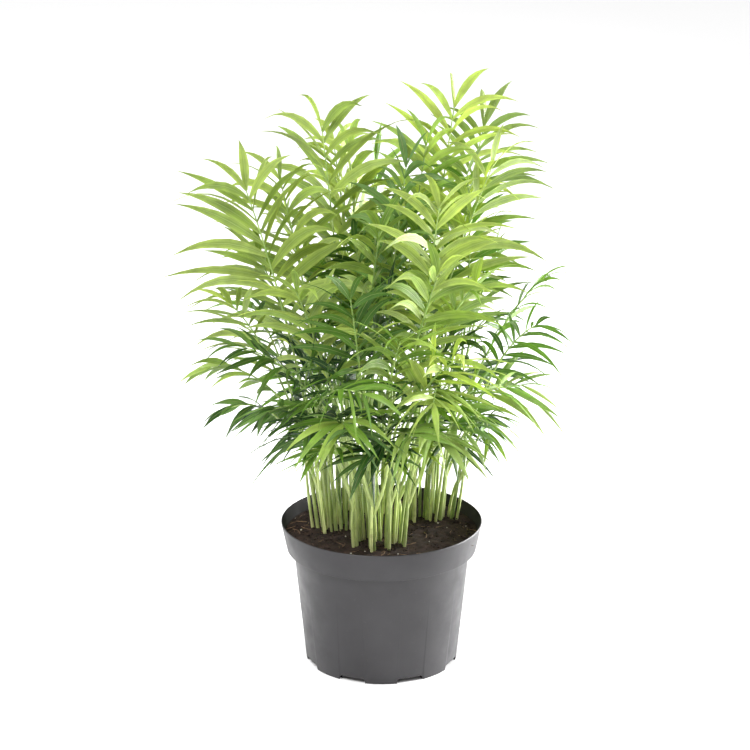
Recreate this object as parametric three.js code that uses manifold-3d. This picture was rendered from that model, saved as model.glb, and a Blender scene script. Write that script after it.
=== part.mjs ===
// Parlour palm in a plastic nursery pot: a filled pot planted with four clumps of young palms.
// Millimetres, +Z up. The origin is the middle of the pot's underside, and -Y is the front.
import * as THREE from "three";
import { mergeVertices } from "three/addons/utils/BufferGeometryUtils.js";
import Module from "manifold-3d";

const wasm = await Module();
wasm.setup();

// ---- Pot ----
const POT_HEIGHT = 138;
const RIM_RADIUS = 95;
const COLLAR_FOOT_RADIUS = 89.6; // the plain collar under the rim
const COLLAR_FOOT = 111;
const WALL_TOP_RADIUS = 83.2;
const WALL_TOP = 109.5; // where a narrow step joins the wall to the collar
const BASE_RADIUS = 72;
const WALL = 1.6;
const FLOOR_TOP = 3.4;
const GROOVE_RISE = 1.6; // the underside is lifted between its middle pad and its outer foot
const GROOVE_FROM_RADIUS = 26;
const GROOVE_TO_RADIUS = 56;
const GROOVE_SLOPE = 4;
const POT_SIDES = 40;
const NOTCHES = 8; // drain notches in the bottom edge
const NOTCH_WIDTH = 26;
const NOTCH_RISE = 4.6;
const NOTCH_REACH = 11; // how far a notch runs in under the pot
const FIRST_NOTCH_DEG = 22;

// ---- Soil ----
const SOIL_TOP = 128;
const SOIL_CROWN = 2;
const SOIL_FLAT_SHARE = 0.7; // of the radius, where the top begins to fall
const GAP = 0.4; // between pieces that touch

// ---- Stems ----
const CLUMPS = [
  { at: [-44, 6], stems: 8 },
  { at: [-3, -36], stems: 12 },
  { at: [46, 31], stems: 8 },
  { at: [-9, 48], stems: 6 },
];
const STEM_SPACING = 5.8; // the growth spiral's scale: neighbours stand about 1.6 of these apart
const CLUMP_STRETCH = [1.35, 0.92];
const GOLDEN_ANGLE = THREE.MathUtils.degToRad(137.508);
const STEM_RADIUS = 2.5;
const STEM_TAPER = 0.72;
const STEM_SIDES = 5;
const STEM_DEPTH = 28; // how far a stem stands in the soil
const STEM_HEIGHT = [74, 104];
const LEAN_FROM_POT = 0.13; // outward lean at LEAN_HEIGHT, as a share of the distance from the pot's axis
const LEAN_FROM_CLUMP = 0.22;
const LEAN_HEIGHT = 90;
const MOST_FRONDS = 3; // on one stem

// ---- Fronds: the tip of each rib, how far it is turned about that rib, and its longest leaflets ----
const FRONT_FRONDS = [
  { tip: [-54, 0, 514], roll: 75, leaf: 100 },
  { tip: [-121, -60, 474], roll: 50, leaf: 102 },
  { tip: [66, 20, 532], roll: 80, leaf: 94 },
  { tip: [94, 40, 510], roll: 60, leaf: 88 },
  { tip: [99, -20, 484], roll: -55, leaf: 98 },
  { tip: [40, -14, 504], roll: 50, leaf: 80 },
  { tip: [-30, 44, 484], roll: 40, leaf: 84 },
  { tip: [-92, -20, 474], roll: 60, leaf: 86 },
  { tip: [22, -20, 486], roll: 40, leaf: 74 },
  { tip: [-34, 30, 448], roll: -60, leaf: 68 },
  { tip: [-6, 60, 468], roll: 30, leaf: 68 },
  { tip: [51, -60, 458], roll: -30, leaf: 88 },
  { tip: [-112, -10, 396], roll: 35, leaf: 88 },
  { tip: [83, 60, 428], roll: -20, leaf: 84 },
  { tip: [147, 40, 360], roll: -25, leaf: 60 },
  { tip: [141, -40, 342], roll: -60, leaf: 54 },
  { tip: [-137, -40, 362], roll: 30, leaf: 66 },
  { tip: [-130, -66, 330], roll: -15, leaf: 58 },
  { tip: [-162, 20, 282], roll: 20, leaf: 46 },
  { tip: [-140, -20, 256], roll: 10, leaf: 46 },
  { tip: [116, -46, 284], roll: 15, leaf: 50 },
  { tip: [66, -130, 336], roll: -50, leaf: 68 },
  { tip: [-34, -118, 272], roll: 15, leaf: 72 },
  { tip: [50, -112, 258], roll: -10, leaf: 66 },
  { tip: [2, -118, 252], roll: 10, leaf: 62 },
  { tip: [-72, -90, 250], roll: 20, leaf: 62 },
  { tip: [-26, -122, 266], roll: -15, leaf: 62 },
  { tip: [26, -124, 262], roll: 15, leaf: 62 },
  { tip: [76, -90, 254], roll: 10, leaf: 58 },
  { tip: [-60, -104, 240], roll: 20, leaf: 56 },
  { tip: [-14, -112, 238], roll: -15, leaf: 56 },
  { tip: [20, -104, 240], roll: 15, leaf: 56 },
  { tip: [60, -98, 246], roll: -20, leaf: 54 },
  { tip: [8, -66, 262], roll: -10, leaf: 58 },
  { tip: [-66, -54, 270], roll: 10, leaf: 56 },
  { tip: [78, -50, 262], roll: -10, leaf: 54 },
  { tip: [-2, -60, 436], roll: 20, leaf: 82 },
  { tip: [50, -88, 404], roll: -20, leaf: 80 },
  { tip: [-28, -100, 384], roll: 25, leaf: 76 },
  { tip: [-76, -78, 384], roll: 30, leaf: 84 },
  { tip: [84, -58, 386], roll: -25, leaf: 74 },
  { tip: [16, -124, 352], roll: -15, leaf: 68 },
  { tip: [-34, -70, 268], roll: 15, leaf: 58 },
  { tip: [-16, -132, 306], roll: 20, leaf: 62 },
  { tip: [45, -130, 296], roll: -10, leaf: 66 },
  { tip: [-60, -36, 340], roll: -20, leaf: 66 },
  { tip: [70, -34, 322], roll: 25, leaf: 62 },
  { tip: [6, -46, 376], roll: 20, leaf: 68 },
  { tip: [-88, 8, 326], roll: 15, leaf: 58 },
  { tip: [-44, -78, 312], roll: -15, leaf: 60 },
  { tip: [-10, -92, 284], roll: 20, leaf: 60 },
  { tip: [30, -84, 300], roll: -20, leaf: 60 },
  { tip: [-104, -74, 268], roll: 15, leaf: 54 },
  { tip: [-44, -96, 236], roll: -10, leaf: 52 },
  { tip: [40, -92, 234], roll: 15, leaf: 50 },
  { tip: [-82, -36, 246], roll: 10, leaf: 48 },
  { tip: [48, -62, 268], roll: 15, leaf: 58 },
  { tip: [98, -56, 242], roll: 0, leaf: 46 },
  { tip: [92, 4, 236], roll: 0, leaf: 36 },
  { tip: [-92, 4, 230], roll: 0, leaf: 34 },
];
const CORE_FRONDS = { count: 16, radius: [16, 76], height: [440, 264], leaf: 66, from: 0, to: 360 };
const BACK_FRONDS = { count: 16, radius: [64, 138], height: [490, 250], leaf: 68, from: -8, to: 188 };
const LOW_FRONDS = { count: 7, radius: [70, 108], height: [228, 208], leaf: 56, from: 15, to: 165 };
const HEIGHT_JITTER = 20;
const LEAF_SPREAD = [0.85, 1.15];
const GOLDEN_SHARE = 0.618034; // of the sweep, from one frond of a ring to the next
const TURN_SPREAD = 0.05;
const ROLL_DEG = 35; // the most that one of the three rings' fronds is turned about its rib
const FORK_SPREAD = 0.36; // a frond grows from the stem nearest this share of the way out to its tip
const TIP_HEIGHTS = [210, 390]; // pairs of values below hold for a frond whose tip is this low or this high
const FORK_HEIGHT = [24, 92]; // above the soil
const FORK_BELOW_TOP = 6; // at least this far under the stem's end
const CROWDING = 16; // mm that each frond already on a stem counts for in that choice
const BOW_OUT = [0.38, 0.43]; // the curve's middle control point, as a share of the way out
const BOW_UP = [0.8, 0.57]; // and of the way up
const ARCH = [0.6, 0.06]; // plus this share of the way out
const SWAYS = [0, 10, -10, 20, -20, 32, -32]; // sideways shifts of that point, tried until the stalk is clear
const RIB_START = [0.54, 0.42]; // the bare leafstalk ends here, as a share of the frond's curve
const RIB_RADIUS = [1.7, 0.9];
const RIB_CORNER = [Math.sin(Math.PI / 3), -Math.cos(Math.PI / 3)]; // of a rib's three-sided section
const STALK_STEPS = [0, 0.2];

// ---- Leaflets ----
const PAIR_SPACING = 25;
const PAIRS = [4, 7];
const ANGLE_DEG = [54, 30]; // from the rib, for the first pair and the last but one
const END_ANGLE_DEG = 20;
const ANGLE_SPREAD = 13;
const LIFT_DEG = [-4, 12]; // of a leaflet over its rib's own plane
const LIFT_SPREAD = 20;
const TILT_DEG = 45;
const DROOP = [0.12, 0.52];
const DROOP_POWER = 2.3;
const LENGTH_SHARES = [0.7, 1]; // of the frond's longest leaflet, at the rib's ends and its middle
const SWELL_START = 0.15; // the first pair already stands this far along that change of length
const LENGTH_SPREAD = [0.88, 1.08];
const WIDTH_SHARE = 0.108;
const WIDTH_SPREAD = [0.82, 1.22];
const END_WIDTH = 1.25;
const WIDEST_AT = 0.46;
const RIDGE = 1.2; // thickness along the midrib
const ROOT_LENGTH = 4.4; // along the rib
const SHORTENINGS = [1, 0.85, 0.7]; // these are tried in turn, until a leaflet clears all the others
const SWINGS_DEG = [0, 7, -7, 13];
const LIFTS_DEG = [0, 8, -8, 16, -16, 24, -24, 33, -33];

// ---- Clearance ----
const CELL = 2;
const ROOM = { low: [-270, -270, 100], size: [540, 540, 540] };
const STEP = 1.5; // between the points that stand for a surface
const ROOT_FREE = 10; // the start of a leaflet may come near its own frond, which it grows from
const FORK_FREE = 26; // and the start of a leafstalk near its own palm
const RIM_CLEARANCE = 6;

const POT_COLOUR = 0x57565a;
const SOIL_COLOUR = 0x2d211f;
const LEAF_COLOUR = 0x6c9c36;

const UP = new THREE.Vector3(0, 0, 1);
const radians = THREE.MathUtils.degToRad;
const mix = THREE.MathUtils.lerp;

// A repeatable draw from 0 to 1 for a pair of whole numbers.
function draw(item, channel) {
  const wave = Math.sin(item * 12.9898 + channel * 78.233) * 43758.5453;
  return wave - Math.floor(wave);
}

function drawBetween([low, high], item, channel) {
  return mix(low, high, draw(item, channel));
}

// ---- Solids ----
function solidOf(geometry) {
  const bare = new THREE.BufferGeometry().setAttribute("position", geometry.getAttribute("position"));
  bare.setIndex(geometry.getIndex());
  const merged = mergeVertices(bare, 1e-4);
  return new wasm.Manifold(
    new wasm.Mesh({
      numProp: 3,
      vertProperties: merged.getAttribute("position").array,
      triVerts: new Uint32Array(merged.getIndex().array),
    }),
  );
}

function geometryOf(solid) {
  const mesh = solid.getMesh();
  const geometry = new THREE.BufferGeometry();
  geometry.setAttribute("position", new THREE.BufferAttribute(mesh.vertProperties, 3));
  geometry.setIndex(new THREE.BufferAttribute(mesh.triVerts, 1));
  geometry.computeVertexNormals();
  return geometry;
}

function turned(profile, sides) {
  const points = profile.map(([radius, height]) => new THREE.Vector2(radius, height));
  return new THREE.LatheGeometry(points, sides).rotateX(Math.PI / 2);
}

// ---- Pot and soil ----
const OUTSIDE = [
  [BASE_RADIUS, 0],
  [WALL_TOP_RADIUS, WALL_TOP],
  [COLLAR_FOOT_RADIUS, COLLAR_FOOT],
  [RIM_RADIUS, POT_HEIGHT - WALL / 2],
];

// The pot's outside radius at a height.
function outsideRadius(height) {
  const above = Math.max(1, OUTSIDE.findIndex((point) => point[1] > height));
  const [[lowRadius, low], [highRadius, high]] = [OUTSIDE[above - 1], OUTSIDE[above]];
  return THREE.MathUtils.mapLinear(height, low, high, lowRadius, highRadius);
}

// The outside profile moved in by a thickness, from a floor up to a top.
function insideProfile(floor, top, thickness) {
  const rise = thickness / 2;
  const inner = OUTSIDE.map(([radius, height]) => [radius - thickness, height + rise]);
  const radiusAt = (height) => outsideRadius(height - rise) - thickness;
  const middle = inner.filter((point) => point[1] > floor && point[1] < top);
  return [[radiusAt(floor), floor], ...middle, [radiusAt(top), top]];
}

function potSolid() {
  let pot = solidOf(
    turned(
      [
        [0, 0],
        [GROOVE_FROM_RADIUS, 0],
        [GROOVE_FROM_RADIUS + GROOVE_SLOPE, GROOVE_RISE],
        [GROOVE_TO_RADIUS, GROOVE_RISE],
        [GROOVE_TO_RADIUS + GROOVE_SLOPE, 0],
        ...OUTSIDE,
        [RIM_RADIUS - WALL / 2, POT_HEIGHT],
        ...insideProfile(FLOOR_TOP, POT_HEIGHT - WALL, WALL).reverse(),
        [0, FLOOR_TOP],
      ],
      POT_SIDES,
    ),
  );
  for (let i = 0; i < NOTCHES; i++) {
    const cutter = new THREE.BoxGeometry(2 * NOTCH_REACH, NOTCH_WIDTH, 2 * NOTCH_RISE);
    cutter.translate(BASE_RADIUS, 0, 0);
    cutter.rotateZ(radians(FIRST_NOTCH_DEG + (i * 360) / NOTCHES));
    pot = pot.subtract(solidOf(cutter));
  }
  return pot;
}

function soilSolid(stems) {
  const edge = SOIL_TOP - SOIL_CROWN;
  const profile = insideProfile(FLOOR_TOP + GAP, edge, WALL + GAP);
  const topRadius = profile[profile.length - 1][0];
  let soil = solidOf(
    turned(
      [[0, FLOOR_TOP + GAP], ...profile, [topRadius * SOIL_FLAT_SHARE, SOIL_TOP], [0, SOIL_TOP]],
      POT_SIDES,
    ),
  );
  for (const stem of stems) {
    const hole = stemGeometry(stem, -STEM_DEPTH - GAP, STEM_DEPTH, STEM_RADIUS + GAP, STEM_RADIUS + GAP);
    soil = soil.subtract(solidOf(hole));
  }
  return soil;
}

// ---- Stems ----
function makeStems() {
  const stems = [];
  for (const clump of CLUMPS) {
    for (let i = 0; i < clump.stems; i++) {
      const spiral = STEM_SPACING * Math.sqrt(i + 0.5);
      const turn = i * GOLDEN_ANGLE + clump.at[0];
      const off = [
        spiral * Math.cos(turn) * CLUMP_STRETCH[0],
        spiral * Math.sin(turn) * CLUMP_STRETCH[1],
      ];
      const foot = new THREE.Vector3(clump.at[0] + off[0], clump.at[1] + off[1], SOIL_TOP);
      const lean = new THREE.Vector3(
        (foot.x * LEAN_FROM_POT + off[0] * LEAN_FROM_CLUMP) / LEAN_HEIGHT,
        (foot.y * LEAN_FROM_POT + off[1] * LEAN_FROM_CLUMP) / LEAN_HEIGHT,
        1,
      );
      const number = stems.length;
      stems.push({ number, foot, lean, height: drawBetween(STEM_HEIGHT, number, 1), fronds: [] });
    }
  }
  return stems;
}

function stemPoint(stem, height) {
  return stem.foot.clone().addScaledVector(stem.lean, height);
}

// A prism along the stem between two heights over the soil.
function stemGeometry(stem, from, to, lowRadius, highRadius) {
  const low = stemPoint(stem, from);
  const high = stemPoint(stem, to);
  const geometry = new THREE.CylinderGeometry(highRadius, lowRadius, low.distanceTo(high), STEM_SIDES);
  geometry.rotateX(Math.PI / 2);
  geometry.applyQuaternion(new THREE.Quaternion().setFromUnitVectors(UP, stem.lean.clone().normalize()));
  const middle = low.add(high).multiplyScalar(0.5);
  return geometry.translate(middle.x, middle.y, middle.z);
}

// ---- Clearance: a block of small cells, each owned by the stem or frond that passes through it ----
const cells = ROOM.size.map((side) => Math.ceil(side / CELL));
const owners = new Int16Array(cells[0] * cells[1] * cells[2]);
const NEIGHBOURS = [];
for (const x of [-1, 0, 1]) {
  for (const y of [-1, 0, 1]) {
    for (const z of [-1, 0, 1]) NEIGHBOURS.push((x * cells[1] + y) * cells[2] + z);
  }
}

function cellOf(point) {
  const x = Math.floor((point.x - ROOM.low[0]) / CELL);
  const y = Math.floor((point.y - ROOM.low[1]) / CELL);
  const z = Math.floor((point.z - ROOM.low[2]) / CELL);
  return (x * cells[1] + y) * cells[2] + z;
}

function isClear(points, isOwn) {
  return points.every((point) => {
    const cell = cellOf(point);
    return NEIGHBOURS.every((step) => owners[cell + step] === 0 || isOwn(owners[cell + step]));
  });
}

function claim(points, owner) {
  for (const point of points) owners[cellOf(point)] = owner;
}

function clearsRim(points) {
  return points.every(
    (point) =>
      point.z > POT_HEIGHT + RIM_CLEARANCE || Math.hypot(point.x, point.y) > RIM_RADIUS + RIM_CLEARANCE,
  );
}

// Whole numbers that name who owns a cell: 100 for each palm, and in it 25 for a frond's rib and its pairs.
function ownerOf(stem, frondOnStem = 0) {
  return 1 + stem.number * 100 + frondOnStem * 25;
}

function frondOf(owner) {
  return Math.floor((owner - 1) / 25);
}

function palmOf(owner) {
  return Math.floor((owner - 1) / 100);
}

// Points on and in a round rod about a curve, from one length along it to another.
function tubePoints(pointAt, length, from, to, radius) {
  const points = [];
  const steps = Math.ceil((to - from) / STEP);
  for (let i = 0; i <= steps; i++) {
    const centre = pointAt(mix(from, to, i / steps) / length);
    points.push(centre);
    for (let turn = 0; turn < 6; turn++) {
      const angle = (turn * Math.PI) / 3;
      const off = new THREE.Vector3(Math.cos(angle), Math.sin(angle), 0);
      points.push(centre.clone().addScaledVector(off, radius));
    }
  }
  return points;
}

// ---- Fronds ----
function plannedFronds() {
  const planned = [...FRONT_FRONDS];
  const addRing = (ring, channel) => {
    for (let i = 0; i < ring.count; i++) {
      const out = Math.sqrt((i + 0.5) / ring.count);
      const around = (i * GOLDEN_SHARE + draw(i, channel) * TURN_SPREAD) % 1;
      const turn = radians(mix(ring.from, ring.to, around));
      const radius = mix(ring.radius[0], ring.radius[1], out);
      const height = mix(ring.height[0], ring.height[1], out * out);
      planned.push({
        tip: [
          radius * Math.cos(turn),
          radius * Math.sin(turn),
          height + HEIGHT_JITTER * (2 * draw(i, channel + 1) - 1),
        ],
        roll: ROLL_DEG * (2 * draw(i, channel + 2) - 1),
        leaf: ring.leaf * drawBetween(LEAF_SPREAD, i, channel + 3),
      });
    }
  };
  addRing(CORE_FRONDS, 11);
  addRing(BACK_FRONDS, 21);
  addRing(LOW_FRONDS, 31);
  return planned;
}

function forHeight([lowest, highest], height) {
  return THREE.MathUtils.clamp(
    THREE.MathUtils.mapLinear(height, TIP_HEIGHTS[0], TIP_HEIGHTS[1], lowest, highest),
    Math.min(lowest, highest),
    Math.max(lowest, highest),
  );
}

function frondCurve(stem, tip, sway) {
  const fork = stemPoint(stem, Math.min(forHeight(FORK_HEIGHT, tip.z), stem.height - FORK_BELOW_TOP));
  const out = new THREE.Vector3(tip.x - fork.x, tip.y - fork.y, 0);
  const reach = out.length();
  out.normalize();
  const side = UP.clone().cross(out);
  const bow = fork
    .clone()
    .addScaledVector(out, reach * forHeight(BOW_OUT, tip.z))
    .addScaledVector(side, sway)
    .addScaledVector(UP, (tip.z - fork.z) * forHeight(BOW_UP, tip.z) + reach * forHeight(ARCH, tip.z));
  return { curve: new THREE.QuadraticBezierCurve3(fork, bow, tip), side };
}

// Puts a frond on the nearest stem from which its stalk and rib run clear of all the others.
function placeFrond(plan, number, stems) {
  const tip = new THREE.Vector3(...plan.tip);
  const distance = (stem) =>
    Math.hypot(stem.foot.x - tip.x * FORK_SPREAD, stem.foot.y - tip.y * FORK_SPREAD) +
    CROWDING * stem.fronds.length;
  const open = stems.filter((stem) => stem.fronds.length < MOST_FRONDS);
  open.sort((a, b) => distance(a) - distance(b));
  for (const stem of open) {
    for (const sway of SWAYS) {
      const { curve, side } = frondCurve(stem, tip, sway);
      const length = curve.getLength();
      const pointAt = (share) => curve.getPoint(share);
      const start = tubePoints(pointAt, length, 0, FORK_FREE, RIB_RADIUS[0]);
      const rest = tubePoints(pointAt, length, FORK_FREE, length, RIB_RADIUS[0]);
      if (!isClear(start, (other) => palmOf(other) === stem.number)) continue;
      if (!isClear(rest, () => false)) continue;
      const owner = ownerOf(stem, stem.fronds.length + 1);
      claim(start, owner);
      claim(rest, owner);
      const frond = { number, stem, owner, curve, side, length, leaf: plan.leaf, leaflets: [] };
      frond.roll = radians(plan.roll);
      frond.ribStart = forHeight(RIB_START, tip.z);
      const pairs = Math.round((length * (1 - frond.ribStart)) / PAIR_SPACING) + 1;
      frond.pairs = THREE.MathUtils.clamp(pairs, ...PAIRS);
      stem.fronds.push(frond);
      return frond;
    }
  }
  return null;
}

// The rib's point, direction, left side and upper side at a share of the frond's curve.
function ribFrame(frond, share) {
  const along = frond.curve.getTangent(share);
  const side = frond.side.clone().addScaledVector(along, -frond.side.dot(along)).normalize();
  side.applyAxisAngle(along, frond.roll);
  return { at: frond.curve.getPoint(share), along, side, up: along.clone().cross(side) };
}

// ---- Leaflets ----
// Where a pair grows, as a share of its frond's curve: the last pair grows just short of the end.
function rootShare(frond, pair) {
  const last = pair === frond.pairs - 1;
  return mix(frond.ribStart, 1, pair / (frond.pairs - 1)) - (last ? ROOT_LENGTH / 2 / frond.length : 0);
}

// One leaflet: from `at` it starts along `ahead` and bends down, and `across` is its width's direction.
function makeLeaflet(frond, pair, side, lift, swing, shortening) {
  const share = pair / (frond.pairs - 1);
  const last = pair === frond.pairs - 1;
  const item = frond.number * 100 + pair * 2 + (side > 0 ? 1 : 0);
  const frame = ribFrame(frond, rootShare(frond, pair));
  const ownSwing = ANGLE_SPREAD * (2 * draw(item, 45) - 1);
  const angle = radians((last ? END_ANGLE_DEG : mix(ANGLE_DEG[0], ANGLE_DEG[1], share)) + ownSwing + swing);
  const ownLift = forHeight(LIFT_DEG, frond.curve.v2.z) + LIFT_SPREAD * (2 * draw(item, 41) - 1);
  const rising = radians(ownLift + lift);
  const tilt = radians(TILT_DEG * (2 * draw(item, 42) - 1));
  const outward = frame.side.clone().multiplyScalar(side * Math.cos(rising));
  outward.addScaledVector(frame.up, Math.sin(rising));
  const ahead = frame.along.clone().multiplyScalar(Math.cos(angle)).addScaledVector(outward, Math.sin(angle));
  const across = frame.along.clone().addScaledVector(ahead, -frame.along.dot(ahead)).normalize();
  across.applyAxisAngle(ahead, side * tilt);
  const swell = Math.sin(Math.PI * Math.min(1, (share + SWELL_START) / (1 + SWELL_START)));
  const fullLength = frond.leaf * mix(LENGTH_SHARES[0], LENGTH_SHARES[1], swell);
  const length = fullLength * drawBetween(LENGTH_SPREAD, item, 43) * shortening;
  const width = length * WIDTH_SHARE * drawBetween(WIDTH_SPREAD, item, 46) * (last ? END_WIDTH : 1);
  return {
    pair,
    side,
    at: frame.at,
    ahead,
    across,
    length,
    halfWidth: width / 2,
    droop: drawBetween(DROOP, item, 44),
  };
}

// The midrib's point, the width's direction and the upper side at a share of a leaflet's length.
function leafletFrame(leaflet, share) {
  const { at, ahead, across, length, droop, side } = leaflet;
  const point = at.clone().addScaledVector(ahead, length * share);
  point.z -= droop * length * share ** DROOP_POWER;
  const slope = droop * DROOP_POWER * share ** (DROOP_POWER - 1);
  const along = ahead.clone().addScaledVector(UP, -slope).normalize();
  const width = across.clone().addScaledVector(along, -across.dot(along)).normalize();
  const up = side > 0 ? width.clone().cross(along) : along.clone().cross(width);
  return { point, width, up };
}

// Points all over the two straight facets of a leaflet: those near its root, and the others.
function leafletPoints(leaflet) {
  const root = [];
  const blade = [];
  const middle = leafletFrame(leaflet, WIDEST_AT);
  const left = middle.point.clone().addScaledVector(middle.width, -leaflet.halfWidth);
  const right = middle.point.clone().addScaledVector(middle.width, leaflet.halfWidth);
  const spread = (end, free) => {
    const length = end.distanceTo(middle.point);
    const rows = Math.ceil(length / STEP);
    for (let row = 0; row <= rows; row++) {
      const [a, b] = [left, right].map((edge) => end.clone().lerp(edge, row / rows));
      const across = Math.max(1, Math.ceil(a.distanceTo(b) / STEP));
      const points = (row / rows) * length < free ? root : blade;
      for (let i = 0; i <= across; i++) points.push(a.clone().lerp(b, i / across));
    }
  };
  spread(leaflet.at, ROOT_FREE);
  spread(leafletFrame(leaflet, 1).point, 0);
  return { root, blade };
}

const VARIANTS = SHORTENINGS.flatMap((shortening) =>
  SWINGS_DEG.flatMap((swing) => LIFTS_DEG.map((lift) => [shortening, swing, lift])),
);

// Lifts or lowers a leaflet, then swings it, then shortens it, until it passes clear of everything else.
function placeLeaflet(frond, pair, side) {
  const owner = frond.owner + 1 + pair;
  for (const [shortening, swing, lift] of VARIANTS) {
    const leaflet = makeLeaflet(frond, pair, side, lift, swing, shortening);
    const { root, blade } = leafletPoints(leaflet);
    const rootIsClear = isClear(root, (other) => frondOf(other) === frondOf(owner));
    if (rootIsClear && clearsRim(blade) && isClear(blade, (other) => other === owner)) {
      claim(root, owner);
      claim(blade, owner);
      frond.leaflets.push(leaflet);
      return;
    }
  }
}

// ---- A frond's surface: a three-sided stalk and rib, with leaflets sewn into its two upper faces ----
function frondGeometry(frond) {
  const corners = [];
  const faces = [];
  const corner = (point) => corners.push(point) - 1;
  const face = (a, b, c, mirrored) => faces.push(mirrored ? [a, c, b] : [a, b, c]);
  const quad = (a, b, c, d) => faces.push([a, b, c], [a, c, d]);
  const ring = (share) => {
    const { at, side, up } = ribFrame(frond, share);
    const radius = mix(RIB_RADIUS[0], RIB_RADIUS[1], share);
    const place = (toSide, toTop) =>
      corner(at.clone().addScaledVector(side, toSide * radius).addScaledVector(up, toTop * radius));
    const [across, rise] = RIB_CORNER;
    return { left: place(across, rise), top: place(0, 1), right: place(-across, rise) };
  };
  const sewLeaflet = (leaflet, aft, fore) => {
    const mirrored = leaflet.side < 0;
    const [aftEdge, foreEdge] = mirrored ? [aft.right, fore.right] : [aft.left, fore.left];
    const { point, width, up } = leafletFrame(leaflet, WIDEST_AT);
    const a = corner(point.clone().addScaledVector(width, -leaflet.halfWidth));
    const g = corner(point.clone().addScaledVector(up, RIDGE));
    const f = corner(point.clone().addScaledVector(width, leaflet.halfWidth));
    const tip = corner(leafletFrame(leaflet, 1).point);
    face(aftEdge, aft.top, a, mirrored);
    face(aft.top, g, a, mirrored);
    face(aft.top, fore.top, g, mirrored);
    face(fore.top, f, g, mirrored);
    face(fore.top, foreEdge, f, mirrored);
    face(foreEdge, aftEdge, a, mirrored);
    face(foreEdge, a, f, mirrored);
    face(a, g, tip, mirrored);
    face(g, f, tip, mirrored);
    face(f, a, tip, mirrored);
  };

  const halfRoot = ROOT_LENGTH / 2 / frond.length;
  const stations = STALK_STEPS.map((share) => ({ share }));
  for (let pair = 0; pair < frond.pairs; pair++) {
    const grown = frond.leaflets.filter((leaflet) => leaflet.pair === pair);
    if (!grown.length && pair < frond.pairs - 1) continue;
    const root = rootShare(frond, pair);
    stations.push({ share: root - halfRoot, grown }, { share: root + halfRoot });
  }
  for (const station of stations) station.ring = ring(station.share);

  const first = stations[0].ring;
  const end = stations[stations.length - 1].ring;
  faces.push([first.left, first.right, first.top], [end.left, end.top, end.right]);
  stations.slice(0, -1).forEach((station, i) => {
    const [aft, fore] = [station.ring, stations[i + 1].ring];
    const left = station.grown?.find((leaflet) => leaflet.side > 0);
    const right = station.grown?.find((leaflet) => leaflet.side < 0);
    if (left) sewLeaflet(left, aft, fore);
    else quad(aft.left, aft.top, fore.top, fore.left);
    if (right) sewLeaflet(right, aft, fore);
    else quad(aft.top, aft.right, fore.right, fore.top);
    quad(aft.right, aft.left, fore.left, fore.right);
  });

  const positions = new Float32Array(corners.flatMap((point) => point.toArray()));
  const geometry = new THREE.BufferGeometry();
  geometry.setAttribute("position", new THREE.BufferAttribute(positions, 3));
  return geometry.setIndex(faces.flat());
}

// ---- The planting ----
function plantPalms() {
  const stems = makeStems();
  for (const stem of stems) {
    const pointAt = (share) => stemPoint(stem, share * stem.height);
    claim(tubePoints(pointAt, stem.height, 0, stem.height, STEM_RADIUS), ownerOf(stem));
  }
  const fronds = plannedFronds()
    .map((plan, number) => placeFrond(plan, number, stems))
    .filter((frond) => frond);
  for (const frond of fronds) {
    for (let pair = frond.pairs - 1; pair >= 0; pair--) {
      placeLeaflet(frond, pair, 1);
      placeLeaflet(frond, pair, -1);
    }
  }
  return stems;
}

function palmSolid(stem) {
  const topRadius = STEM_RADIUS * STEM_TAPER;
  let palm = solidOf(stemGeometry(stem, -STEM_DEPTH, stem.height, STEM_RADIUS, topRadius));
  for (const frond of stem.fronds) palm = palm.add(solidOf(frondGeometry(frond)));
  return palm;
}

function addMesh(parent, name, geometry, colour, roughness) {
  const material = new THREE.MeshStandardMaterial({ color: colour, roughness, metalness: 0 });
  const mesh = new THREE.Mesh(geometry, material);
  mesh.name = name;
  parent.add(mesh);
  return mesh;
}

const plant = new THREE.Group();
const stems = plantPalms();
addMesh(plant, "pot", geometryOf(potSolid()), POT_COLOUR, 0.45);
addMesh(plant, "soil", geometryOf(soilSolid(stems)), SOIL_COLOUR, 0.95);
for (const stem of stems) {
  const { x, y, z } = stem.foot;
  const geometry = geometryOf(palmSolid(stem)).translate(-x, -y, -z);
  const name = "palm_" + String(stem.number + 1).padStart(2, "0");
  addMesh(plant, name, geometry, LEAF_COLOUR, 0.5).position.set(x, y, z);
}

export default plant;
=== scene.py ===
import math
from dataclasses import dataclass, field

import bpy
import numpy as np
from bpy.props import FloatProperty, FloatVectorProperty, IntProperty, PointerProperty
from bpy.types import Operator, Panel, PropertyGroup
from mathutils import Matrix, Vector


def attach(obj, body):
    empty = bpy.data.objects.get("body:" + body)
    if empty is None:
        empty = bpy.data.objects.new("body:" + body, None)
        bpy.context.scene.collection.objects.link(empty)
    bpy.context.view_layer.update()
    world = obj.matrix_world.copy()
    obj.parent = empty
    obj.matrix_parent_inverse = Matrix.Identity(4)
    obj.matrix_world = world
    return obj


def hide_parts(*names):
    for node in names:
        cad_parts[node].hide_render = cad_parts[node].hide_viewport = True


bl_info = {
    "name": "Potted parlour palm",
    "version": (1, 0, 0),
    "blender": (4, 5, 0),
    "location": "3D View > Sidebar > Palm",
    "description": "Models the pot, the soil and the young palms, and sets up the stage",
    "category": "Object",
}

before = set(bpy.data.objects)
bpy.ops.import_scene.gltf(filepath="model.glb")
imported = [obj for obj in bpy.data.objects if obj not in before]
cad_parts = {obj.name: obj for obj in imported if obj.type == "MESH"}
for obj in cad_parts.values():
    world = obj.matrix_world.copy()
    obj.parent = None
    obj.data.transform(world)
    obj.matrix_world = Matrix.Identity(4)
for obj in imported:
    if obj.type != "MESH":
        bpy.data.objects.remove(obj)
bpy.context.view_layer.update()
MM = 0.001

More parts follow.
